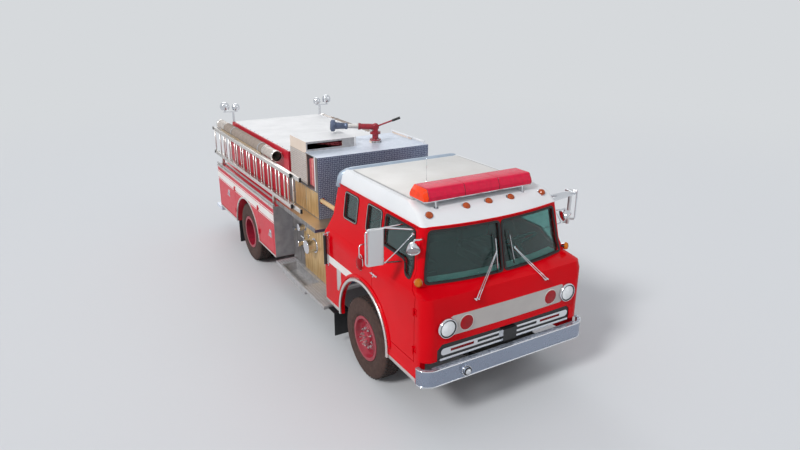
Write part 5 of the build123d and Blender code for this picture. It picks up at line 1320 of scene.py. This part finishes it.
def pump_panels():
    """Panels with rows of screws, the slot's posts, and treadplate with its lugs."""
    gold, grey, column, posts, cheek = new_meshes(5)
    screws, cheeks = [], []
    inset = 0.022
    for side in (-1, 1):
        face = side * PANEL_FACE
        for bm, x, y0, y1, z0, z1 in ((gold, face, 1.556, 2.452, 0.510, 1.446),
                                      (grey, face, 2.462, 2.916, 0.510, 1.446),
                                      (column, side * 0.921, 1.800, 2.222, 1.510, 1.885),
                                      (column, side * 0.921, 2.242, 2.655, 1.510, 1.885)):
            add_block(bm, at(x - side * 0.002, y0, z0), at(x + side * 0.003, y1, z1), 0.0012, 1)
            y_low, y_high, z_low, z_high = y0 + inset, y1 - inset, z0 + inset, z1 - inset
            count = max(2, round((y1 - y0) / 0.15))
            spots = [(y_low + (y_high - y_low) * i / count, z) for i in range(count + 1)
                     for z in (z_low, z_high)]
            count = max(2, round((z1 - z0) / 0.16))
            spots += [(y, z_low + (z_high - z_low) * i / count) for i in range(1, count)
                      for y in (y_low, y_high)]
            screws += [(at(x + side * 0.0025, y, z), (side, 0, 0), 0, (1, 1)) for y, z in spots]
        # Upright angle at the front of the slot
        add_block(posts, at(side * 0.890, 1.862, 1.905), at(side * 0.925, 1.893, 2.396), 0.003)
        # Treadplate over the lower part of the cheek behind the slot
        add_block(cheek, at(side * 0.8995, 2.222, 1.908), at(side * 0.9045, 2.838, 2.375), 0.001, 1)
        cheeks += tread_spots(at(side * 0.904, 2.226, 1.912), (0, 1, 0), (0, 0, 1), (side, 0, 0),
                              (0.608, 0.460), 0.030)
    close_all("chassis", (gold, "pump_panels_warm", GOLD_PANEL, "stainless"),
              (grey, "pump_panels_grey", GREY_PANEL, "stainless"),
              (column, "upper_panels_warm", GOLD_PANEL, "stainless"))
    # White rail along the deck's left edge and the post at the tray's end
    add_block(posts, at(0.874, 1.850, 2.428), at(0.902, 2.845, 2.448), 0.005)
    for y in (1.870, 2.340, 2.825):
        add_block(posts, at(0.878, y - 0.012, 2.398), at(0.898, y + 0.012, 2.432), 0.003)
    add_block(posts, at(-0.121, 2.200, 2.399), at(-0.096, 2.225, 2.545), 0.004)
    close_all("chassis", (posts, "slot_posts", ROOF_WHITE, "roof_white"),
              (cheek, "cheek_plates", WARM_PLATE, "treadplate"))
    lugs("cheek_lugs", cheeks, PALE_LUG, 0.0125, 0.0025)
    studs("panel_screws", screws, CHROME, "chassis", 0.0075, 0.004, 8, 0.55)

    # Lugs on the house's front take the darker finish, painted shade
    spots = tread_spots(at(-0.915, 1.7805, 1.500), (1, 0, 0), (0, 0, 1), (0, -1, 0),
                        (1.830, 0.895), 0.028)
    spots += tread_spots(at(-0.885, 1.5445, 0.510), (1, 0, 0), (0, 0, 1), (0, -1, 0),
                         (1.770, 0.930), 0.05)
    lugs("treadplate_lugs_painted_shade", spots, SHADED_LUG_METAL, 0.0130, 0.0028)
    spots = []
    for x, y, size in ((-0.915, 1.790, (1.830, 0.420)), (-0.110, 2.240, (0.980, 0.585))):
        spots += tread_spots(at(x, y, 2.3995), (1, 0, 0), (0, 1, 0), (0, 0, 1), size, 0.038)
    spots = [spot for spot in spots if (spot[0].xy - GUN_PIVOT.xy).length > 0.125]
    for side in (-1, 1):
        for y0, y1 in ((1.085, 1.800), (2.745, 2.915)):
            spots += tread_spots(at(side * 0.900, y0, 0.5025), (side, 0, 0), (0, 1, 0), (0, 0, 1),
                                 (0.295, y1 - y0), 0.038)
    spots += tread_spots((-1.20, BODY_REAR + 0.020, TAIL_TOP - 0.0005), (1, 0, 0), (0, 1, 0),
                         (0, 0, 1), (2.40, TAIL_BACK - BODY_REAR - 0.040), 0.045)
    lugs("deck_lugs", spots, PALE_LUG, 0.0145, 0.0022)


def stowed_hose():
    """Flat hose folded on edge in the slot, and laid flat in layers in the tray."""
    random.seed(7)
    red, pink = new_meshes(2)
    y = FRONT_AXLE + 1.898
    index = 0
    while y < FRONT_AXLE + 2.140:
        wide = 0.072 + random.uniform(-0.004, 0.003)
        top = 2.340 + random.uniform(-0.025, 0.003)
        reach = 0.893 + random.uniform(-0.018, 0.010)
        add_block((red, pink)[index % 2 == 0], (-reach, y, 1.909), (reach, y + wide, top), 0.022, 4)
        y += wide + 0.0015
        index += 1
    x = -0.872
    while x < -0.235:
        wide = 0.072 + random.uniform(-0.004, 0.004)
        z = 2.402
        while z < 2.475:
            start = FRONT_AXLE + 2.262 + random.uniform(0.0, 0.03)
            add_block(red, (x, start, z), at(x + wide, 2.79, z + 0.026), 0.0115, 3)
            z += 0.027
        x += wide + 0.004
    first = close_piece(red, "stowed_hose_dark", HOSE_RED, "chassis", 60)
    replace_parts(first, "crosslay_hose")
    close_piece(pink, "stowed_hose_faded", HOSE_PINK, "chassis", 60)


# Outlines of (along the axle, radius): half a tyre, then the discs with their rims and hubs
TYRE_SIDE = ((-0.1095, 0.2535), (-0.1095, 0.2925), (-0.1180, 0.3000), (-0.1265, 0.3300),
             (-0.1290, 0.3330), (-0.1290, 0.3380), (-0.1275, 0.3400), (-0.1305, 0.3850),
             (-0.1305, 0.4050), (-0.1290, 0.4350), (-0.1235, 0.4620), (-0.1250, 0.4645),
             (-0.1240, 0.4690), (-0.1210, 0.4720), (-0.1150, 0.4950), (-0.1060, 0.5060),
             (-0.0920, 0.5130))
TREAD_GROOVES = (-0.066, -0.024, 0.024, 0.066)
TREAD_FLOOR = 0.5125
TYRE_HALF = 0.1305
FRONT_DISC = ((-0.120, 0.242), (-0.120, 0.284), (-0.117, 0.288), (-0.112, 0.288), (-0.110, 0.285),
              (-0.110, 0.2535), (0.110, 0.2535), (0.110, 0.285), (0.112, 0.288), (0.117, 0.288),
              (0.120, 0.284), (0.120, 0.254), (0.116, 0.248), (0.096, 0.240), (0.060, 0.228),
              (0.052, 0.221), (0.051, 0.212), (0.060, 0.172), (0.064, 0.162), (0.072, 0.152),
              (0.075, 0.146), (0.075, 0.100), (0.078, 0.095), (0.108, 0.088), (0.113, 0.084),
              (0.123, 0.060), (0.125, 0.054), (0.125, 0.0), (0.090, 0.0), (0.090, 0.037),
              (-0.030, 0.037), (-0.030, 0.178), (-0.057, 0.178), (-0.057, 0.192), (-0.018, 0.192),
              (-0.018, 0.090), (0.060, 0.090), (0.060, 0.138), (0.046, 0.160), (0.034, 0.225),
              (0.034, 0.242))
REAR_DISC = ((1.166, 0.242), (1.166, 0.285), (1.163, 0.288), (1.158, 0.288), (1.156, 0.285),
             (1.156, 0.2535), (0.936, 0.2535), (0.936, 0.288), (0.926, 0.288), (0.926, 0.250),
             (0.903, 0.228), (0.884, 0.228), (0.861, 0.250), (0.861, 0.288), (0.851, 0.288),
             (0.851, 0.2535), (0.631, 0.2535), (0.631, 0.288), (0.621, 0.288), (0.621, 0.242),
             (0.843, 0.242), (0.872, 0.214), (0.872, 0.100), (0.710, 0.100), (0.710, 0.0455),
             (0.990, 0.0455), (0.990, 0.0), (1.030, 0.0), (1.030, 0.060), (1.026, 0.067),
             (1.008, 0.084), (0.990, 0.088), (0.915, 0.092), (0.915, 0.210), (0.918, 0.217),
             (0.944, 0.242))


def tyre_profile():
    """The tyre's section from bead to bead, with four grooves round the tread."""
    crown = [(-0.092, 0.5130)]
    for groove in TREAD_GROOVES:
        crown += [(groove - 0.006, 0.5145), (groove - 0.004, 0.5050), (groove + 0.004, 0.5050),
                  (groove + 0.006, 0.5145)]
    other = [(-along, radius) for along, radius in TYRE_SIDE[::-1]]
    return list(TYRE_SIDE[:-1]) + crown + other


def pierced(piece, holes):
    """The piece with holes cut through it."""
    cutter = close_piece(holes, piece.name + "_holes", PLASTIC, "chassis")
    cut = piece.modifiers.new("holes", "BOOLEAN")
    cut.operation = "DIFFERENCE"
    cut.solver = "EXACT"
    cut.object = cutter
    piece.data = final_mesh(piece)
    bpy.data.objects.remove(cutter)


def around(centre, axis_x, radius, count, start=0.0):
    """Points round a wheel's axis."""
    for k in range(count):
        angle = 2 * pi * (k + start) / count
        yield angle, Vector((axis_x, centre[0] + cos(angle) * radius, centre[1] + sin(angle) * radius))


def wheels():
    """Tyres with tread blocks, and pierced discs with nuts, studs and hub bolts."""
    profile = tyre_profile()
    for name, side in SIDES:
        front = "front_wheel_" + name
        rear = "rear_wheels_" + name
        front_middle = side * (FRONT_TYRE[0][0] + FRONT_TYRE[1][0]) / -2
        outer = (abs(REAR_TYRES[0][0]) - TYRE_HALF) * side
        inner = side * (abs(REAR_TYRES[1][0]) + TYRE_HALF)
        for label, body, y, middles, nodes in (
                ("front_tyre_skin_", front, FRONT_AXLE, (front_middle,), "front_tyre_"),
                ("rear_tyre_skins_", rear, REAR_AXLE, (outer, inner), "rear_tyres_")):
            bm = bmesh.new()
            blocks = []
            for middle in middles:
                add_turned(bm, profile, (middle, y, AXLE_Z), (side, 0, 0), 96)
                for row, along in enumerate((-0.088, -0.045, 0.0, 0.045, 0.088)):
                    blocks += [(spot, (0, cos(angle), sin(angle)), 45, (1, 1)) for angle, spot in
                               around((y, AXLE_Z), middle + along, TREAD_FLOOR, 52, row % 2 / 2)]
            skin = close_piece(bm, label + name, TYRE, body, 28)
            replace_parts(skin, nodes + name)
            studs(label.replace("skin", "tread") + name, blocks, TREAD, body,
                  0.0225, TYRE_RADIUS - TREAD_FLOOR, 4, 0.86)
        # Each wheel's finish, disc, holes from x to x on a circle, nuts, and bolts round its hub
        for label, body, mat, y, middle, disc, hole, nuts, bolts, node in (
                ("front_disc_", front, WHEEL_RED, FRONT_AXLE, front_middle, FRONT_DISC,
                 (front_middle + side * 0.02, front_middle + side * 0.12, 0.193),
                 (front_middle + side * 0.0745, 0.1225), (side * 0.050, 0.031), "front_rim_"),
                ("rear_disc_", rear, REAR_WHEEL_RED, REAR_AXLE, 0.0, REAR_DISC,
                 (side * 0.84, side * 0.96, 0.181), (side * 0.9145, 0.137),
                 (side * 0.115, 0.028), "rear_rims_")):
            bm, holes = new_meshes(2)
            centre = (y, AXLE_Z)
            add_turned(bm, disc, (middle, y, AXLE_Z), (side, 0, 0), 80)
            piece = close_piece(bm, label + name, mat, body, 30)
            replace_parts(piece, node + name)
            for angle, spot in around(centre, 0.0, hole[2], 5):
                outline = []
                for k in range(20):
                    turn = 2 * pi * k / 20
                    along, across = cos(turn) * 0.040, sin(turn) * 0.021
                    outline.append((spot.y - sin(angle) * along + cos(angle) * across,
                                    spot.z + cos(angle) * along + sin(angle) * across))
                add_prism(holes, outline, hole[0], hole[1])
            pierced(piece, holes)
            spots = [(spot, (side, 0, 0), degrees(angle), (1, 1)) for angle, spot in
                     around(centre, nuts[0], nuts[1], 10)]
            studs(label.replace("disc", "nuts") + name, spots, CHROME, body, 0.0185,
                  0.020, 6, 0.92)
            tips = [(spot, out, 0, size) for spot, out, turn, size in spots]
            tips += [(spot, (side, 0, 0), 0, (0.9, 0.9)) for angle, spot in
                     around(centre, nuts[0] + bolts[0], 0.066, 8)]
            studs(label.replace("disc", "studs") + name, tips, ALUMINIUM, body,
                  0.0095, bolts[1], 10, 0.85)


# Where the deck gun's barrel turns, and its direction at rest
GUN_PIVOT = at(0.300, 2.330, 2.635)
GUN_AIM = Vector((-0.630, 0.290, 0.030)).normalized()


def deck_gun():
    """Finishes along the deck gun's barrel, its ring lugs, hand wheel and bolts."""
    def along(c):
        return (c - GUN_PIVOT).dot(GUN_AIM)

    def fuller_nozzle(bm):
        for vert in bm.verts:
            reach = along(vert.co)
            if reach > 0.425:
                core = GUN_PIVOT + GUN_AIM * reach
                vert.co = core + (vert.co - core) * (1.25 if reach > 0.56 else 1.15)

    gun = dressed("monitor_barrel", GUN_RED, "monitor_barrel", 0.0015, fuller_nozzle)
    face_finish(gun, ALUMINIUM, lambda c, n: 0.262 < along(c) <= 0.421)
    face_finish(gun, NOZZLE, lambda c, n: along(c) > 0.421)
    face_finish(gun, GRIP, lambda c, n: along(c) < -0.06 and (c - GUN_PIVOT).length > 0.30)
    across = GUN_AIM.cross(Vector((0, 0, 1))).normalized()
    dark, bright = new_meshes(2)
    for turn in (-1, 1):
        ring = GUN_PIVOT + GUN_AIM * 0.442
        add_tube(dark, [ring + across * turn * 0.040, ring + across * turn * 0.068], 0.011, 10)
        ring = GUN_PIVOT + GUN_AIM * 0.665
        add_tube(dark, [ring + across * turn * 0.055, ring + across * turn * 0.075], 0.009, 10)
    for spot in (0.482, 0.500, 0.518, 0.536, 0.554):
        add_turned(dark, ((-0.004, 0.040), (-0.004, 0.0500), (0.004, 0.0515), (0.004, 0.040)),
                   GUN_PIVOT + GUN_AIM * spot, GUN_AIM, 28)
    add_turned(dark, ((0.612, 0.058), (0.616, 0.082), (0.630, 0.090), (0.662, 0.092), (0.676, 0.088),
                      (0.680, 0.078), (0.668, 0.060)), GUN_PIVOT, GUN_AIM, 36)
    close_piece(dark, "gun_nozzle_rings", NOZZLE, "monitor_barrel")
    hub = GUN_PIVOT + across * 0.094 + Vector((0, 0, -0.060))
    rim = [hub + (GUN_AIM * cos(2 * pi * k / 28) + Vector((0, 0, 1)) * sin(2 * pi * k / 28)) * 0.044
           for k in range(28)]
    add_ring(bright, rim, [(0.005, -0.004), (0.005, 0.004), (-0.005, 0.004), (-0.005, -0.004)])
    for k in range(4):
        add_tube(bright, [hub, rim[k * 7]], 0.0035, 6)
    add_tube(bright, [hub - across * 0.014, hub + across * 0.006], 0.010, 12)
    close_piece(bright, "gun_hand_wheel", ALUMINIUM, "monitor_base")
    foot = at(0.300, 2.330, 2.4495)
    bolts = [(foot + Vector((cos(k * pi / 4), sin(k * pi / 4), 0)) * 0.068, (0, 0, 1), 0, (1, 1))
             for k in range(8)]
    studs("gun_bolts", bolts, CHROME, "monitor_base", 0.010, 0.009, 6, 0.9)


# The cover's half width where it is flat, and the x of its hems and of its welded seams
COVER_HALF = 0.880
HEM_X = 0.884
SEAMS_X = (-0.455, 0.0, 0.455)


def sheet_up(route, i):
    """The direction straight out of the cover at a point of its path."""
    return Vector((1, 0, 0)).cross(heading(route, i))


def billow(waves, x, y):
    """How far the cover stands up between its edges, in long shallow waves."""
    lift = sum(sin(a * x + b * y + c) * 0.0010 for a, b, c in waves)
    share = 1 - (x / COVER_HALF) ** 2
    return max(lift * share, -0.001) + 0.004 * share ** 0.5


def cover_sheet():
    """White vinyl stretched over the hose bed and down its slope and back, with its fasteners."""
    random.seed(11)
    slope = (BODY_REAR - 0.237, 1.850)
    top = BED_TOP + 0.0035
    corners = ((BODY_FRONT + 0.004, top), (slope[0], top), (BODY_REAR + 0.006, slope[1]),
               (BODY_REAR + 0.006, 1.502))
    path = fine(bent([(0, y, z) for y, z in corners], 0.05, 4), closed=False)
    columns = [(-COVER_HALF + 2 * COVER_HALF * i / 44, None) for i in range(45)]
    columns = [(-HEM_X, 0.0008)] + columns + [(HEM_X, 0.0008)]
    waves = [(random.uniform(2, 9), random.uniform(2, 9), random.uniform(0, 6.28))
             for k in range(9)]
    bm, hems, seams = new_meshes(3)
    rows = []
    for i, spot in enumerate(path):
        rows.append([bm.verts.new(spot + Vector((x, 0, 0)) + sheet_up(path, i)
                                  * (billow(waves, x, spot.y) if drop is None else drop))
                     for x, drop in columns])
    join_rings(bm, rows, closed=False)
    sheet = close_piece(bm, "bed_cover_sheet", COVER, "chassis", 60)
    thick = sheet.modifiers.new("thickness", "SOLIDIFY")
    thick.thickness = 0.0022
    thick.offset = 0.0
    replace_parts(sheet, "hosebed_cover")
    for turn in (-1, 1):
        add_tube(hems, [Vector((turn * HEM_X, spot.y, spot.z)) + sheet_up(path, i) * 0.0015
                        for i, spot in enumerate(path)], 0.0045, 6)
    # Seams where the cover's lengths are welded together
    wide = Vector((0.012, 0, 0))
    for x in SEAMS_X:
        line = [spot + Vector((x, 0, 0)) + sheet_up(path, i) * (billow(waves, x, spot.y) + 0.0012)
                for i, spot in enumerate(path)]
        for start, end in zip(line, line[1:]):
            up = Vector((1, 0, 0)).cross((end - start).normalized()) * 0.0008
            seams.faces.new([seams.verts.new(p + up) for p in
                             (start - wide, start + wide, end + wide, end - wide)])
    bmesh.ops.remove_doubles(seams, verts=seams.verts, dist=0.0001)
    hem = close_piece(hems, "bed_cover_hem", COVER, "chassis")
    seam = close_piece(seams, "bed_cover_seams", COVER, "chassis")
    spots = []
    for side in (-1, 1):
        y = BODY_FRONT + 0.12
        while y < slope[0]:
            spots.append(((side * 0.868, y, BED_TOP + 0.006), (0, 0, 1), 0, (1, 1)))
            y += 0.23
    for k in range(9):
        spots.append(((-0.80 + 0.2 * k, BODY_REAR + 0.0065, 1.525), (0, 1, 0), 0, (1, 1)))
    studs("cover_fasteners", spots, CHROME, "chassis", 0.0115, 0.005, 12, 0.7)


# The suction hoses: side, height, front end and back end
HARD_HOSES = ((-1, 2.155, 3.130, 6.280), (1, 2.155, 2.800, 5.950))


def stay_bars():
    """Wooden sleeves on the two bars between the pump house and the cab."""
    bm = bmesh.new()
    for side in (-1, 1):
        add_turned(bm, ((0.0, 0.020), (0.0, 0.029), (0.006, 0.031), (0.440, 0.031), (0.446, 0.029),
                        (0.446, 0.020)), at(side * 0.868, 1.320, 1.775), (0, 1, 0), 28)
    close_piece(bm, "stay_bar_sleeves", WOOD, "chassis")


def hard_hoses():
    """Ribbed suction hoses with smooth ends, clamps and couplings, on strapped saddles."""
    tree = ribbed_tree()
    bright, ends, black, straps, troughs = new_meshes(5)
    ribbed = []
    for side, z, front, back in HARD_HOSES:
        x = side * 1.020
        y0, y1 = FRONT_AXLE + front, FRONT_AXLE + back
        for y, turn in ((y0, 1), (y1, -1)):
            spot, axis = (x, y, z), (0, turn, 0)
            add_turned(bright, ((0.0, 0.078), (0.0, 0.087), (0.003, 0.090), (0.066, 0.090),
                                (0.070, 0.086), (0.070, 0.078)), spot, axis, 40)
            for k in range(2):
                angle = pi * k + 0.5
                lug = Vector((x + cos(angle) * 0.089, y + turn * 0.035, z + sin(angle) * 0.089))
                out = Vector((cos(angle), 0, sin(angle)))
                add_tube(bright, [lug - out * 0.006, lug + out * 0.010], 0.012, 8)
            add_turned(ends, ((0.068, 0.077), (0.068, 0.081), (0.076, 0.084), (0.505, 0.084),
                              (0.505, 0.077)), spot, axis, 40)
            add_turned(black, ((0.004, 0.0775), (0.004, 0.0785), (0.300, 0.0785), (0.300, 0.0),
                               (0.296, 0.0), (0.296, 0.0775)), spot, axis, 32)
            for start in (0.410, 0.470):
                add_turned(bright, ((start, 0.083), (start, 0.089), (start + 0.002, 0.090),
                                    (start + 0.024, 0.090), (start + 0.026, 0.089),
                                    (start + 0.026, 0.083)), spot, axis, 40)
                add_block(bright, (x - 0.012, y + turn * (start + 0.002), z + 0.086),
                          (x + 0.012, y + turn * (start + 0.024), z + 0.097), 0.003)
        arc = [radians(200 + 140 * k / 16) for k in range(17)]
        outline = [(x + cos(a) * 0.0965, z + sin(a) * 0.0965) for a in arc]
        outline += [(x + cos(a) * 0.0995, z + sin(a) * 0.0995) for a in arc[::-1]]
        add_prism(troughs, outline, y0 + 0.52, y1 - 0.30, 1)
        start = bpy.data.meshes.new("suction_hose_start")
        start.from_pydata([(0, 0, 0)], [], [])
        ribbed.append(grown_on(tree, start, "suction_hose_" + ("right" if side < 0 else "left"),
                               {"Start": (x, y0 + 0.5, z), "End": (x, y1 - 0.5, z),
                                "Radius": 0.0885, "Rib Height": 0.0032,
                                "Rib Count": int((y1 - y0 - 1.0) / 0.028), "Finish": HOSE_GREY},
                               "chassis"))
        for y in (FRONT_AXLE + 3.800, FRONT_AXLE + 5.300):
            add_block(straps, (side * 0.906, y - 0.030, z - 0.106), (side * 1.040, y + 0.030, z - 0.093),
                      0.002)
            add_block(straps, (side * 0.906, y - 0.030, z - 0.152), (side * 0.917, y + 0.030, z - 0.002),
                      0.002)
            add_turned(straps, ((-0.020, 0.0925), (-0.020, 0.0955), (0.020, 0.0955),
                                (0.020, 0.0925)), (x, y, z), (0, 1, 0), 40)
    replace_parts(ribbed[0], "suction_hoses")
    close_all("chassis", (bright, "suction_couplings", ALUMINIUM, "bright_aluminium"),
              (ends, "suction_hose_ends", HOSE_END, "hose_grey"),
              (troughs, "suction_hose_troughs", WARM_ALUMINIUM, "bright_aluminium"),
              (black, "suction_hose_bores", RUBBER, "cast_black"),
              (straps, "suction_hose_saddles", DULL_ALUMINIUM, "bright_aluminium"))


def cushion(name, low, high, channels, lean=0.0, up_axis=2):
    """A padded form: crowned, pulled in between its corners, with sewn channels across its top."""
    low, high = Vector(low), Vector(high)
    centre, half = (low + high) / 2, (high - low) / 2
    rounding = min(half) * 0.72
    bm = bmesh.new()
    bmesh.ops.create_cube(bm, size=2.0)
    bmesh.ops.subdivide_edges(bm, edges=list(bm.edges), cuts=23, use_grid_fill=True)
    inner = [h - rounding for h in half]
    flat = [a for a in (0, 1, 2) if a != up_axis]
    for vert in bm.verts:
        unit = vert.co.copy()
        full = Vector([unit[a] * half[a] for a in range(3)])
        core = Vector([max(-inner[a], min(inner[a], full[a])) for a in range(3)])
        over = full - core
        spot = core + (over.normalized() * rounding if over.length > 1e-9 else over)
        for a in flat:
            other = flat[0] if a == flat[1] else flat[1]
            spot[a] *= 1 - 0.022 * (1 - unit[other] ** 2)
        rise = (1 - unit[flat[0]] ** 2) * (1 - unit[flat[1]] ** 2)
        spot[up_axis] += 0.012 * rise * (1 if spot[up_axis] > 0 else 0)
        if spot[up_axis] > inner[up_axis]:
            for line in channels:
                spot[up_axis] -= 0.007 * pow(2.718, -((spot[0] - line) / 0.014) ** 2)
        if lean:
            spot = Matrix.Rotation(radians(lean), 3, "X") @ spot
        vert.co = centre + spot
    piece = close_piece(bm, name, SEAT, "cab", 60)
    return piece


def cab_inside():
    """Padded seats on plain bases, the shelf behind the windscreen, near-white as a painted reflection,
    and the dashboard's finish.
    """
    bases = bmesh.new()
    first = None
    for name, side in SIDES:
        x = side * 0.560
        seat = cushion("front_seat_cushion_" + name, at(x - 0.235, -0.400, 1.405),
                       at(x + 0.235, 0.085, 1.520), (-0.12, 0.0, 0.12))
        first = first or seat
        cushion("front_seat_back_" + name, at(x - 0.230, 0.075, 1.500),
                at(x + 0.230, 0.185, 2.000), (-0.12, 0.0, 0.12), -4.0, 1)
        add_block(bases, at(x - 0.22, -0.385, 1.291), at(x + 0.22, 0.180, 1.408), 0.012)
        add_block(bases, at(x - 0.20, 0.150, 1.400), at(x + 0.20, 0.188, 1.960), 0.010)
    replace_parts(first, "cab_seats")
    for k in range(3):
        x0 = -0.955 + 0.637 * k
        cushion("rear_bench_cushion_%d" % (k + 1), at(x0, 0.645, 1.405),
                at(x0 + 0.632, 1.010, 1.525), (-0.15, 0.0, 0.15))
    cushion("rear_bench_back", at(-0.955, 1.015, 1.480), at(0.955, 1.095, 1.618),
            (-0.6, -0.3, 0.0, 0.3, 0.6), 0.0, 1)
    add_block(bases, at(-0.955, 0.660, 1.291), at(0.955, 1.095, 1.408), 0.012)
    close_piece(bases, "seat_bases", PLASTIC, "cab")
    # The shelf's near-white top is a painted reflection of the bright band at the windscreen's foot
    shelf = bmesh.new()
    rows = []
    for i in range(-20, 21):
        near = front_y(i * 0.045, 1.655) + 0.030
        section = ((near, 1.662), (near + 0.11, 1.669), (near + 0.11, 1.661), (near, 1.654))
        rows.append([shelf.verts.new((i * 0.045, y, z)) for y, z in section])
    join_rings(shelf, rows)
    shelf.faces.new(rows[0])
    shelf.faces.new(rows[-1])
    bmesh.ops.recalc_face_normals(shelf, faces=shelf.faces)
    close_piece(shelf, "dash_shelf_painted_reflection", DASH_TOP_REFLECTION, "cab")
    dash = dressed("dashboard", DASH, "cab")
    face_finish(dash, PLASTIC, lambda c, n: c.z > 1.603 or c.y > FRONT_AXLE - 0.96)


BACKDROP = "#D6D9DC"


def stage_and_camera():
    """Pale floor, soft studio light and the camera where the photograph was taken."""
    bm = bmesh.new()
    bmesh.ops.create_grid(bm, x_segments=1, y_segments=1, size=60.0)
    mesh = bpy.data.meshes.new("floor")
    bm.to_mesh(mesh)
    bm.free()
    floor = in_scene("floor", mesh)
    mat, tree, shader, place = material("pale_floor")
    shader.inputs["Base Color"].default_value = linear("#D2D3D5")
    shader.inputs["Roughness"].default_value = 0.85
    # Far from the object the floor runs into the backdrop's own tone
    reach = add_node(tree, "ShaderNodeVectorMath", {0: place}, operation="LENGTH").outputs["Value"]
    far = add_node(tree, "ShaderNodeMapRange", {"Value": reach, "From Min": 7.0, "From Max": 24.0},
                   interpolation_type="SMOOTHSTEP").outputs[0]
    glow = add_node(tree, "ShaderNodeEmission", {"Color": linear(BACKDROP), "Strength": 1.0})
    blend = add_node(tree, "ShaderNodeMixShader", {0: far, 1: shader.outputs[0],
                                                   2: glow.outputs[0]})
    end = [node for node in tree.nodes if node.type == "OUTPUT_MATERIAL"][0]
    tree.links.new(blend.outputs[0], end.inputs["Surface"])
    mesh.materials.append(mat)

    world = bpy.data.worlds.new("studio")
    bpy.context.scene.world = world
    world.use_nodes = True
    tree = world.node_tree
    tree.nodes.clear()
    direction = add_node(tree, "ShaderNodeTexCoord").outputs["Generated"]
    height = add_node(tree, "ShaderNodeSeparateXYZ", {0: direction}).outputs[2]
    ramp = add_node(tree, "ShaderNodeValToRGB", {0: height})  # darker towards the ground
    stops = ramp.color_ramp.elements
    stops[0].position, stops[0].color = 0.0, linear("#A4A9AE")
    stops[1].position, stops[1].color = 0.5, linear("#E6EBF1")
    soft = add_node(tree, "ShaderNodeBackground", {"Color": ramp.outputs[0], "Strength": 0.66})
    plain = add_node(tree, "ShaderNodeBackground", {"Color": linear(BACKDROP), "Strength": 1.0})
    path = add_node(tree, "ShaderNodeLightPath")
    seen = add_node(tree, "ShaderNodeMath", {0: path.outputs["Is Camera Ray"],
                                             1: path.outputs["Is Glossy Ray"]}, operation="MAXIMUM")
    seen = add_node(tree, "ShaderNodeMath", {0: seen.outputs[0],
                                             1: path.outputs["Is Transmission Ray"]},
                    operation="MAXIMUM")
    both = add_node(tree, "ShaderNodeMixShader",
                    {0: seen.outputs[0], 1: soft.outputs[0], 2: plain.outputs[0]})
    add_node(tree, "ShaderNodeOutputWorld", {"Surface": both.outputs[0]})

    # The key sun stands over the right side, so that the front is a little darker, as in the photograph
    for label, spot, kind, measure, size, power in (
            ("key", (-9.5, -2.8, 9.0), "SUN", "angle", 0.22, 1.95),
            ("fill", (6.0, -9.0, 6.0), "SUN", "angle", 0.5, 0.16),
            ("back", (3.0, 12.0, 8.0), "SUN", "angle", 0.5, 0.40),
            ("top", (-2.0, 1.0, 11.0), "AREA", "size", 7.0, 60.0)):
        lamp = bpy.data.lights.new(label, kind)
        setattr(lamp, measure, size)
        lamp.energy = power
        lamp_object = in_scene(label, lamp)
        lamp_object.location = spot
        aim = Vector((0, 0, 0.9)) - Vector(spot)
        lamp_object.rotation_euler = aim.to_track_quat("-Z", "Y").to_euler()

    # The camera was solved from the photograph: 30.93 degrees off the long axis, 19.8 down
    yaw, pitch, roll = radians(30.93), radians(19.835), radians(0.403)
    ahead = Vector((sin(yaw) * cos(pitch), cos(yaw) * cos(pitch), -sin(pitch)))
    right = Vector((cos(yaw), -sin(yaw), 0))
    up = right.cross(ahead)
    tilted_right = right * cos(roll) + up * sin(roll)
    tilted_up = up * cos(roll) - right * sin(roll)
    lens_data = bpy.data.cameras.new("camera")
    lens_data.lens = 27.87
    lens_data.sensor_width = 36.0
    camera = in_scene("camera", lens_data)
    turn = Matrix((tilted_right, tilted_up, -ahead)).transposed().to_4x4()
    camera.matrix_world = Matrix.Translation((-4.236, -8.512, 4.450)) @ turn
    bpy.context.scene.camera = camera
    bpy.context.scene.view_settings.view_transform = "Standard"


finish_solids()
shells()
window_seals()
roof_details()
light_bar()
front_face()
wipers()
side_lamps()
cab_trim()
bumper_trim()
ladder()
rear_panel()
dials()
body_trim()
pump_panels()
stowed_hose()
wheels()
deck_gun()
cover_sheet()
stay_bars()
hard_hoses()
cab_inside()
stage_and_camera()
